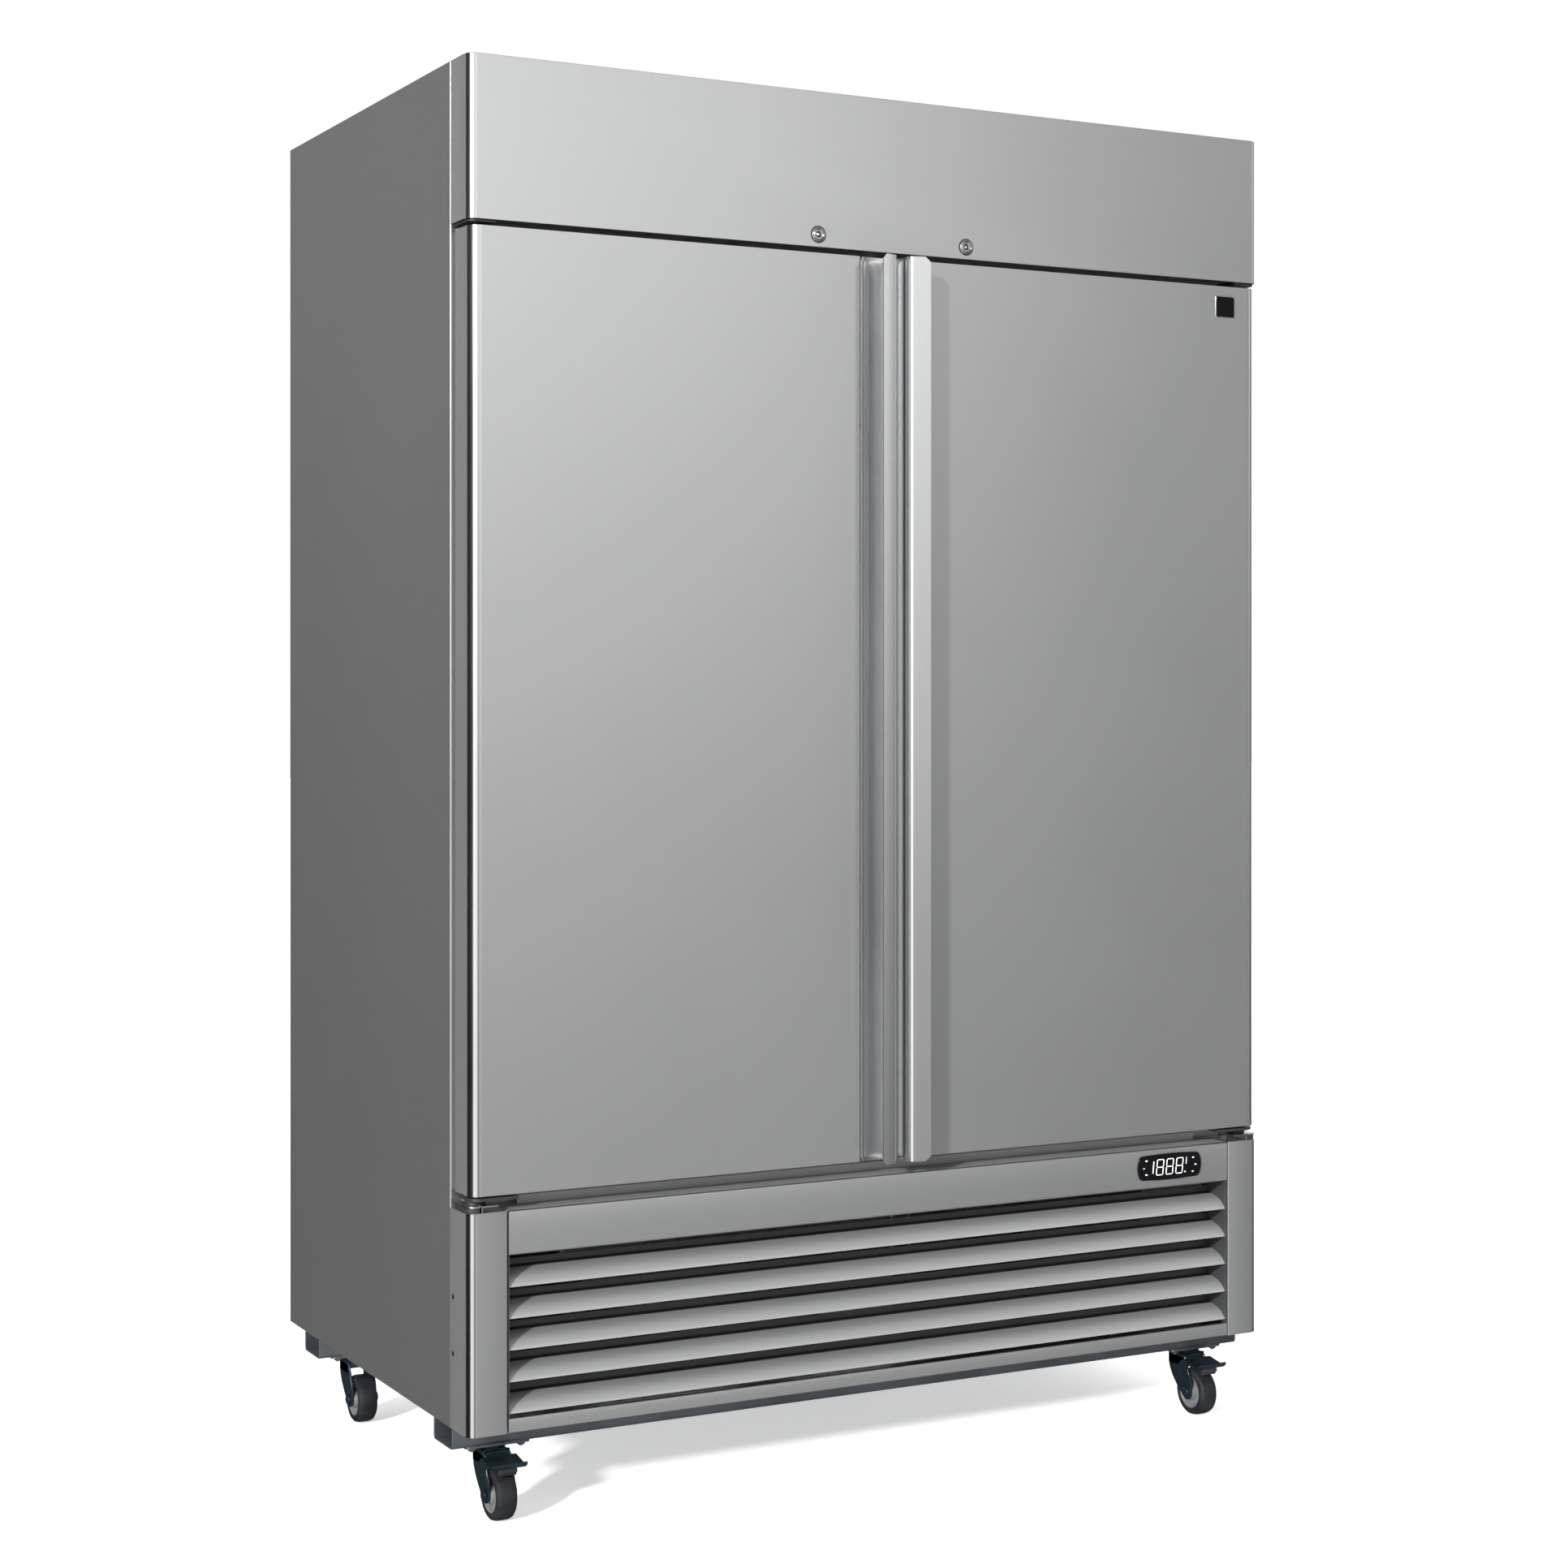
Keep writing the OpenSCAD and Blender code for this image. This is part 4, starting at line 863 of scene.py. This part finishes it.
def caster(end, side):
    """Swivel caster: ball race, fork, tyre, hub and axle."""
    where = f"{end}_{side}"
    swivel = JOINT[f"caster_{where}_swivel"]
    axle = JOINT[f"wheel_{where}_roll"]
    at = Vector((swivel.x, swivel.y, 0))
    race_top = corners(f"caster_fork_{where}")[1].z
    crown = race_top - 5.7
    trail = swivel.y - axle.y

    fork = Shape()
    section = [(-21, crown - 22), (-21, crown - 9)] + arc(-13, crown - 8, 8, 180, 90, 8)
    section += arc(13, crown - 8, 8, 90, 0, 8) + [(21, crown - 9), (21, crown - 22)]
    fork.prism(thicken(section, -3), "y", -24, 18)
    fork.box((-20, -24, crown - 14), (20, -21.4, crown - 1))
    leg = [(18, crown - 8), (18, crown - 20), (15, 70), (8, 58), (-2, 47), (-12, 37)]
    leg += arc(-trail, 38, 12.5, -25, -170, 12)
    leg += [(-44, 50), (-41, 62), (-34, 76), (-26, crown - 6)]
    for x in (-21, 18):
        fork.prism(leg, "x", x, x + 3)
    race = [(0, crown - 1), (20, crown - 1), (22, crown), (22.6, crown + 1.8), (21, crown + 3)]
    race += [(22.4, crown + 4.2), (22.4, race_top - 0.8), (21, race_top), (0, race_top)]
    fork.lathe(race, (0, 0, 0), "z", 48)
    for x in (-26, 21):
        cap = [(0, 0), (6.5, 0), (8, 1), (8, 4), (6.5, 5), (0, 5)]
        fork.lathe(cap, (x, -trail, 38), "x", 32)
    fork.rod((-21, -trail, 38), "x", 5, 42, 24)
    fork.turn(Matrix.Translation(at))
    piece(f"caster_fork_{where}", fork, "zinc", 0.6, 3, body=f"caster_{where}")

    def ring(profile, steps):
        return Shape().lathe(profile, (axle.x, axle.y, axle.z), "x", steps, ring=True)

    w, r = 16.0, 38.0
    half = [(26.5, w - 1), (28, w), (r - 8.5, w), (r - 4.2, w - 0.9), (r - 1.5, w - 3)]
    half += [(r - 0.3, w - 7), (r, w - 12)]
    tyre = ring(half + [(p, -t) for p, t in reversed(half)], 72)
    piece(f"tyre_{where}", tyre, "tyre", 0.3, 2, [f"caster_wheel_{where}"], body=f"wheel_{where}")
    half = [(5.1, 17), (12, 17), (12.8, 15.5), (14, 10.5), (17, 9.5), (22, 10.2), (24, 13.4)]
    half += [(26.6, 14.6)]
    hub = ring([(p, -t) for p, t in half] + [(p, t) for p, t in reversed(half)], 64)
    piece(f"hub_{where}", hub, "hub", 0.3, body=f"wheel_{where}")


def casters(side):
    for end in ("front", "rear"):
        caster(end, side)


def caster_plates():
    """Top plates with their kingpins and hex bolts."""
    low, high = corners("caster_plates")
    shape = Shape()
    for joint, at in JOINT.items():
        if not joint.endswith("_swivel"):
            continue
        x, y = at.x, at.y
        width = (high.x - abs(x)) * 2
        depth = (high.y - JOINT["caster_rear_left_swivel"].y) * 2
        shape.prism(rounded(x, y, width, depth, 7), "z", CHANNEL_Z - 4, CHANNEL_Z - 0.1)
        for sx in (-1, 1):
            for sy in (-1, 1):
                bx, by = x + sx * (width / 2 - 12), y + sy * (depth / 2 - 9)
                shape.prism(hexagon(bx, by, 11), "z", CHANNEL_Z - 8, CHANNEL_Z - 4.2)
                shape.rod((bx, by, CHANNEL_Z - 10), "z", 2.9, 7, 16)
        shape.rod((x, y, CHANNEL_Z - 22), "z", 6, 18, 24)
    piece("caster_plates", shape, "channel", 0.5)


def brake_pedal(side):
    """Foot pedal with a bent lip, its two ears and the toothed shoe under it."""
    swivel = JOINT[f"caster_front_{side}_swivel"]
    tread = [(-29.5, 89.5), (-31, 91.9), (-58, 87), (-64, 85), (-67, 84.9), (-71.5, 88), (-73, 91)]
    shape = Shape().prism(thicken(tread, 3.0), "x", -27, 27)
    ear = [(-46, 88), (-44, 84), (-32, 76)] + arc(-22, 80, 6.5, 225, 405, 12)
    ear += [(-24, 90), (-30, 91)]
    for x in (-25, 22.4):
        shape.prism(ear, "x", x, x + 2.6)
    at_swivel = Matrix.Translation((swivel.x, swivel.y, 0))
    shape.turn(at_swivel)
    teeth = [(-46, 86), (-66, 83), (-69, 76), (-65.5, 77.5), (-64, 71), (-60.5, 76)]
    teeth += [(-57, 73.6), (-54, 79), (-51, 77.6), (-48, 81)]
    shoe = Shape().prism(teeth, "x", -14, 14).turn(at_swivel)
    piece(f"brake_shoe_{side}", shoe, "black", 0.4, body=f"pedal_{side}")
    piece(f"brake_pedal_{side}", shape, "zinc", 0.5, 3, body=f"pedal_{side}")


# ---- back and machine compartment ----


def rear_grille():
    """Slotted rear cover with the hole for the cord's bushing."""
    low, high = corners("rear_grille")
    slots = []
    for cx in (-400, 0, 400):
        for i in range(7):
            slots.append(rounded(cx, low.z + 94.5 + i * 26, 300, 9, 4.4))
    slots.append(circle(560, low.z + 45, 9.2))
    outline = rectangle(low.x, low.z, high.x, high.z)
    shape = Shape().plate(outline, slots, "y", low.y, high.y)
    piece("rear_grille", shape, "galvanized", 0.3)


def cord_gland():
    """Bushing for the supply cord, with its lock nut."""
    low, high = corners("cord_gland")
    cx, cz, y = (low.x + high.x) / 2, (low.z + high.z) / 2, corners("rear_grille")[1].y
    ring = [(5.1, low.y), (8.9, low.y), (8.9, y), (15, y), (15, y + 2.6), (13.6, y + 4)]
    ring += [(10, y + 4), (10, high.y - 1.5), (8.6, high.y), (5.1, high.y)]
    shape = Shape().lathe(ring, (cx, 0, cz), "y", 48, ring=True)
    shape.plate(hexagon(cx, cz, 26), [circle(cx, cz, 8.9, 32)], "y", y - 8, y - 1.6)
    piece("cord_gland", shape, "black", 0.4)


def screw_shape():
    """Pan-head screw with a cross recess; its head points along -Y."""
    head = [(0, -1.55), (1.2, -1.5), (2.4, -1.25), (3.3, -0.8), (3.9, -0.2), (3.9, 0.3), (0, 0.3)]
    shape = Shape().lathe(head, (0, 0, 0), "y", 24)
    cross = Shape().box((-2.1, -3, -0.45), (2.1, -0.8, 0.45))
    cross.box((-0.45, -3, -2.1), (0.45, -0.8, 2.1))
    return shape.carved(cross)


def screws():
    """Screws of the posts, the rear cover, the deck and the back panel."""
    screw = screw_shape()
    face = Shape()
    for s in (-1, 1):
        for z in (250, 331):
            spot = Matrix.Translation((s * HALF_W, Y_FRONT + 56.6, z))
            face.copy(screw, spot @ Matrix.Rotation(math.radians(s * 90), 4, "Z"))
        cover_y = corners("rear_grille")[1].y
        rear = [(HALF_W - 24, cover_y, z) for z in (170, 292, 420)]
        rear += [(x, cover_y, DECK_Z - 20) for x in (30, 330)]
        rear += [(HALF_W - 11, Y_BACK, z) for z in range(520, 2080, 310)]
        for x, y, z in rear:
            spot = Matrix.Translation((s * x, y - 1.6 * (y == Y_BACK), z))
            face.copy(screw, spot @ Matrix.Rotation(math.pi, 4, "Z"))
    piece("cabinet_screws", face, "chrome", 0)


def condenser_coil():
    """Fins across a block of tubes, with the return bends at the end."""
    low, high = corners("condenser_coil")
    shape = Shape()
    x0, x1, fins = low.x + 3, high.x - 15, 96
    for i in range(fins):
        x = x0 + 3 + (x1 - x0 - 6) * i / (fins - 1)
        shape.box((x, low.y + 4, low.z + 4), (x + 0.5, high.y - 4, high.z - 4))
    for x in (low.x, x1):
        shape.box((x, low.y, low.z), (x + 2, high.y, high.z))
    rows = 8
    step, y = (high.z - low.z - 8) / rows, (low.y + high.y) / 2
    for i in range(rows):
        z = low.z + 4 + step * (i + 0.5)
        shape.rod((low.x, y, z), "x", 4, high.x - low.x - 14, 12)
        if i + 1 < rows:
            turn = [math.pi * k / 10 for k in range(11)]
            bend = [(x1 + 2 + 9 * math.sin(a), y, z + step / 2 - step / 2 * math.cos(a))
                    for a in turn]
            shape.tube(bend, 4, 10)
    piece("condenser_coil", shape, "coil", 0)


def fan(name, r, hub_r, depth, material, count=5):
    """Axial fan: a capped hub and curved, twisted blades."""
    at = JOINT[f"{name}_spin"]
    shape = Shape()
    h = depth / 2
    hub = [(4.1, h), (hub_r - 1, h), (hub_r, h - 1), (hub_r, -h + 5), (hub_r - 5, -h), (4.1, -h)]
    shape.lathe(hub, at, "y", 40, ring=True)
    for b in range(count):
        grid = []
        for i in range(7):
            radius = hub_r - 2 + (r - hub_r + 2) * i / 6
            pitch = math.radians(40 - 14 * i / 6)
            sweep = 2 * math.pi * b / count + 0.16 * (i / 6) ** 2
            chord = hub_r * (1.0 + 0.75 * math.sin(math.pi * (0.25 + 0.6 * i / 6)))
            row = []
            for j in range(7):
                u = (j / 6 - 0.5) * chord
                a = sweep + u * math.cos(pitch) / radius
                lift = u * math.sin(pitch) + 1.6 * (1 - (2 * j / 6 - 1) ** 2)
                lift = max(-h + 0.2, min(h - 1.8, lift))
                row.append((at.x + radius * math.cos(a), at.y + lift, at.z + radius * math.sin(a)))
            grid.append(row)
        shape.skin(grid, (0, 1.5, 0))
    piece(name, shape, material, 0, body=name)


def compressor():
    """Welded can with its seam, dome, feet, terminal box and pipes."""
    low, high = corners("compressor")
    cx, cy = (low.x + high.x) / 2, (low.y + high.y) / 2
    foot, r = 158.0, (high.y - low.y) / 2
    can = []
    for inset, up in ((14, 3), (3, 12), (1.5, 46), (0, 47), (0, 52), (1.5, 53), (2, 104),
                      (8, 124), (26, 140), (48, 148)):
        can.append((r - inset, foot + up))
    can = [(0, foot + 3)] + can + [(0, foot + 149.5)]
    shape = Shape().lathe(can, (cx, cy, 0), "z", 64)
    shape.prism(rounded(cx, cy, 218, 148, 16), "z", foot, foot + 4)
    for x in (-96, 96):
        for y in (-61, 61):
            shape.rod((cx + x, cy + y, low.z), "z", 11, foot - low.z + 1, 24)
    shape.box((cx + 40, cy - r + 6, foot + 62), (cx + 84, cy - r + 60, foot + 108))
    piece("compressor", shape, "black_paint", 1.0, 3)
    pipes = Shape()
    for dx, dy, z in ((-62, 50, foot + 96), (-70, -30, foot + 30)):
        x, y = cx + dx, cy + dy
        path = [(x, y, z), (x - 18, y, z), (x - 22, y, z + 6), (x - 22, y, z + 60)]
        path += [(x - 14, y + 8, z + 70), (x + 60, y + 40, z + 72)]
        pipes.tube(path, 4.2, 12)
    piece("suction_pipes", pipes, "copper", 0)


# ---- inside ----


def shelf_set(side):
    """Coated wire shelves: a frame, two cross rails and long wires."""
    low, high = corners("shelves_left")
    shape = Shape()
    x0, x1, y0, y1 = low.x + 3.5, high.x - 3.5, low.y + 3.5, high.y - 3.5
    edge = rounded((x0 + x1) / 2, (y0 + y1) / 2, x1 - x0, y1 - y0, 9, 4)
    for i in range(SHELVES):
        z = low.z + i * SHELF_PITCH
        shape.tube([(u, v, z + 3.5) for u, v in edge], 3.5, 10, closed=True)
        for y in (y0 + (y1 - y0) / 3, y0 + 2 * (y1 - y0) / 3):
            shape.rod((x0, y, z + 2.6), "x", 2.6, x1 - x0, 10)
        for k in range(1, 24):
            x = x0 + (x1 - x0) * k / 24
            shape.rod((x, y0, z + 5.2), "y", 1.75, y1 - y0, 8)
    piece(f"shelves_{side}", shape.mirrored(side), "wire", 0)


def shelf_supports():
    """Slotted uprights and the clips that carry the shelves."""
    z0, z1 = corners("shelf_supports")[0].z, corners("shelf_supports")[1].z
    shelf_low, shelf_high = corners("shelves_left")
    shape = Shape()
    xw = -CAVITY_HIGH.x
    levels = [shelf_low.z + i * SHELF_PITCH for i in range(SHELVES)]
    slot_levels = range(int(z0) + 16, int(z1) - 10, 25)
    for s in (-1, 1):
        for y in (shelf_low.y + 30, shelf_high.y - 60):
            slots = [rounded(y + 11, z, 5, 12, 1.2, 2) for z in slot_levels]
            outline = rectangle(y, z0, y + 22, z1)
            inner, outer = sorted((-s * xw - s * 7, -s * xw - s * 5.6))
            shape.plate(outline, slots, "x", inner, outer)
            for edge in (y, y + 20.6):
                a, b = sorted((-s * xw, -s * xw - s * 5.6))
                shape.box((a, edge, z0), (b, edge + 1.4, z1))
            for z in levels:
                a, b = sorted((-s * xw - s * 7.2, -s * xw - s * 27))
                clip = [(y + 6, z - 13), (y + 6, z - 0.4), (y + 16, z - 0.4)]
                shape.prism(thicken(clip, -1.6), "x", a, b)
        for y in (CAVITY_HIGH.y - 7, Y_FACE + 52.2):
            x = sorted((-s * 24, -s * 2))
            slots = [rounded(sum(x) / 2, z, 5, 12, 1.2, 2) for z in slot_levels]
            shape.plate(rectangle(x[0], z0, x[1], z1), slots, "y", y, y + 6.6)
            out = y - 26 if y > 0 else y + 7
            for z in levels:
                shape.box((min(x) + 3, out, z - 13), (max(x) - 3, out + 19, z - 0.4))
    piece("shelf_supports", shape, "liner", 0)


def interior_lights():
    """Diffuser bars with end caps."""
    low, high = corners("interior_lights")
    cy, cap = (low.y + high.y) / 2, 14.0
    section = [(cy - 11, high.z), (cy - 11, high.z - 3)] + arc(cy, high.z - 4, 9, 180, 360, 14)
    section += [(cy + 11, high.z - 3), (cy + 11, high.z)]
    bars, caps = Shape(), Shape()
    for s in (-1, 1):
        a, b = sorted((s * 90, s * 580))
        bars.prism(section, "x", a + cap, b - cap)
        for end in (a, b - cap):
            caps.prism(section, "x", end, end + cap)
    piece("interior_lights", bars, "lamp", 0.3)
    piece("light_end_caps", caps, "light_grey", 0.6)


def evaporator_cover():
    """Folded housing with an outlet for each fan, and the fans' wire guards."""
    low, high = corners("evaporator_cover")
    fan_at = JOINT["evaporator_fan_left_spin"]
    t = 1.5
    holes = [circle(s * fan_at.x, fan_at.z, 84, 72) for s in (-1, 1)]
    outline = rectangle(low.x, low.z, high.x, high.z)
    shape = Shape().plate(outline, holes, "y", low.y, low.y + t)
    shape.box((low.x, low.y + t, low.z), (low.x + t, high.y, high.z))
    shape.box((high.x - t, low.y + t, low.z), (high.x, high.y, high.z))
    slots = [rounded(i * 75, 340, 50, 20, 6, 4) for i in range(-6, 7)]
    floor = rectangle(low.x + t, low.y + t, high.x - t, high.y)
    shape.plate(floor, slots, "z", low.z, low.z + t)
    for s in (-1, 1):
        shape.rod((s * fan_at.x, fan_at.y + 16, fan_at.z), "y", 26, 38)
        shape.rod((s * fan_at.x, fan_at.y - 12, fan_at.z), "y", 4, 29, 20)
        shape.box((s * fan_at.x - 9, fan_at.y + 24, fan_at.z + 20),
                  (s * fan_at.x + 9, fan_at.y + 46, high.z - 1))
    piece("evaporator_cover", shape, "liner", 0.5)
    guards = Shape()
    for s in (-1, 1):
        cx, cz, y = s * fan_at.x, fan_at.z, low.y - 3
        for r in (22, 38, 54, 70, 86):
            guards.tube([(cx + u, y, cz + v) for u, v in circle(0, 0, r, 48)], 1.3, 8, closed=True)
        for k in range(6):
            a = math.pi * k / 3
            ray = [(cx + q * math.cos(a), y + 1.4, cz + q * math.sin(a)) for q in (20, 86)]
            guards.tube(ray, 1.3, 8)
        guards.lathe([(0, -2), (20, -2), (23, 0), (0, 0)], (cx, y, cz), "y", 40)
    piece("fan_guards", guards, "wire", 0)


# ---- carried-over CAD nodes ----

CARRIED = {
    "inner_liner": "liner",
    "face_frame": "strip",
    "center_mullion": "strip",
    "insulation": "foam",
    "base_panels": "galvanized",
    "condenser_shroud": "galvanized",
    "drain_pan": "galvanized",
    "evaporator_coil": "aluminium",
}


def dress_cad():
    """Puts a finish on the CAD nodes that are shown as they are."""
    for name, material in CARRIED.items():
        node = frame["nodes"][name]
        for slot in node.material_slots:
            slot.material = M[material]


# ---- the build ----


def build():
    """Makes every piece; the left-hand and right-hand ones first."""
    sided = (side_panel, corner_post, hinge_brackets, lock, door_skin, door_liner, door_gasket,
             door_handle, hinge_bushes, brake_pedal, shelf_set, casters)
    for side in SIDES:
        for make in sided:
            make(side)
    for make in (back_panel, top_panel, header_panel, grille_frame, louvers, display, badge,
                 base_channels, caster_plates, rear_grille, cord_gland, screws, condenser_coil,
                 compressor):
        make()
    fan("condenser_fan", 109.0, 26.0, 26.0, "light_grey")
    for side in SIDES:
        fan(f"evaporator_fan_{side}", 79.5, 20.0, 20.0, "black")
    shelf_supports()
    interior_lights()
    evaporator_cover()
    dress_cad()


# ---- stage, light and camera ----


def stage():
    """A plain pale floor."""
    mesh = bpy.data.meshes.new("floor")
    size = 30.0
    corner_points = [(x, y, 0) for x, y in rectangle(-size, -size, size, size)]
    mesh.from_pydata(corner_points, [], [(0, 1, 2, 3)])
    floor = add_object("floor", mesh)
    pale = bpy.data.materials.new("floor_pale")
    pale.use_nodes = True
    g = Graph(pale.node_tree)
    white = (0.95, 0.95, 0.95, 1.0)
    looks = {"Base Color": white, "Roughness": 0.9, "Emission Color": white}
    shader = g.add("ShaderNodeBsdfPrincipled", {**looks, "Emission Strength": 0.45})
    g.add("ShaderNodeOutputMaterial", {"Surface": shader})
    mesh.materials.append(pale)
    floor.visible_glossy = False


# Studio surroundings as the metal mirrors them: (compass bearing from the cabinet's
# back wall in degrees, brightness), a tall lamp at the front left in the same form, and
# how the surroundings' brightness grows with the height of the gaze in degrees.
RING = [(0, 0.55), (40, 0.6), (60, 0.4), (84, 0.12), (103, 0.5), (109, 0.75), (113, 0.9),
        (116, 0.75), (121, 0.22), (130, 0.14), (140, 0.14), (144, 0.22), (148, 0.36),
        (152, 0.53), (160, 0.65), (168, 0.84), (200, 0.87), (208, 0.7), (240, 0.7),
        (244, 0.03), (326, 0.03), (333, 0.09), (350, 0.08)]
LAMP = [(0, 0.0), (201, 0.0), (208, 0.85), (240, 1.0), (244, 0.0)]
RISE = [(-40, 0.3), (-10, 0.34), (-7.7, 0.42), (-4.3, 0.53), (-1, 0.7), (2.4, 0.89), (5.8, 1.1),
        (9.6, 1.34), (14, 1.34), (26, 0.75), (44, 0.4)]


def world():
    """Soft studio light: one sky for mirrors, one for matt surfaces, white behind."""
    sky = bpy.data.worlds.new("studio")
    bpy.context.scene.world = sky
    sky.use_nodes = True
    g = Graph(sky.node_tree)
    x, y, z = g.axes(g.add("ShaderNodeTexCoord", out=0))
    turn = 2 * math.pi
    bearing = g.math("DIVIDE", g.math("WRAP", g.math("ARCTAN2", x, y), turn, 0.0), turn)
    height = g.math("MULTIPLY", g.math("ARCSINE", z), 180 / math.pi)

    def ramp(value, stops):
        node = g.tree.nodes.new("ShaderNodeValToRGB")
        g.tree.links.new(value, node.inputs[0])
        elements = node.color_ramp.elements
        while len(elements) < len(stops):
            elements.new(0.5)
        for element, (position, level) in zip(elements, stops):
            element.position = position
            element.color = (level / 2, level / 2, level / 2, 1)
        return node.outputs[0]

    def blend(factor, a, b):
        return g.add("ShaderNodeMix", {"Factor": factor, 6: a, 7: b}, out=2, data_type="RGBA")

    # A ramp holds half of each brightness, so a product of two ramps is made four times
    # larger, and the lamp's fade with height starts at two.
    climb = g.math("DIVIDE", g.math("ADD", height, 45.0), 90.0)
    lift = ramp(climb, [((h + 45) / 90, v) for h, v in RISE])
    around = ramp(bearing, [(a / 360, v) for a, v in RING])
    around = g.math("MULTIPLY", g.math("MULTIPLY", around, lift), 4.0)
    lamp = ramp(bearing, [(a / 360, v) for a, v in LAMP])
    lamp = g.math("MULTIPLY", lamp, g.span(height, 16, 30, 2, 0))
    around = g.math("ADD", around, lamp)
    ceiling = (0.25, 0.25, 0.25, 1)
    overhead = blend(g.span(height, 38, 62, 0, 1), around, ceiling)
    mirror = g.add("ShaderNodeBackground", {"Color": overhead, "Strength": 1.0})
    matt_level = g.span(height, -20, 50, 0.4, 1.12)
    matt = g.add("ShaderNodeBackground", {"Color": (1, 1, 1, 1), "Strength": matt_level})
    white = g.add("ShaderNodeBackground", {"Color": (1, 1, 1, 1), "Strength": 1.0})
    rays = g.add("ShaderNodeLightPath").node.outputs
    seen = g.add("ShaderNodeMixShader", {0: rays["Is Glossy Ray"], 1: matt, 2: mirror})
    seen = g.add("ShaderNodeMixShader", {0: rays["Is Camera Ray"], 1: seen, 2: white})
    g.add("ShaderNodeOutputWorld", {"Surface": seen})


def key_light():
    """A low key from the front left."""
    data = bpy.data.lights.new("key", "SUN")
    data.energy = 4.5
    data.angle = math.radians(4)
    add_object("key", data).rotation_euler = (math.radians(70), 0, math.radians(-54))


def camera():
    data = bpy.data.cameras.new("camera")
    data.sensor_width = 36.0
    data.lens = 63.04
    data.shift_y = -0.0636
    eye = add_object("camera", data)
    eye.location = (-2.1018, -4.0139, 1.2045)
    eye.rotation_euler = (math.radians(90), 0, math.radians(-27.807))
    bpy.context.scene.camera = eye


bpy.context.scene.view_settings.view_transform = "Standard"
camera()
build()
stage()
world()
key_light()
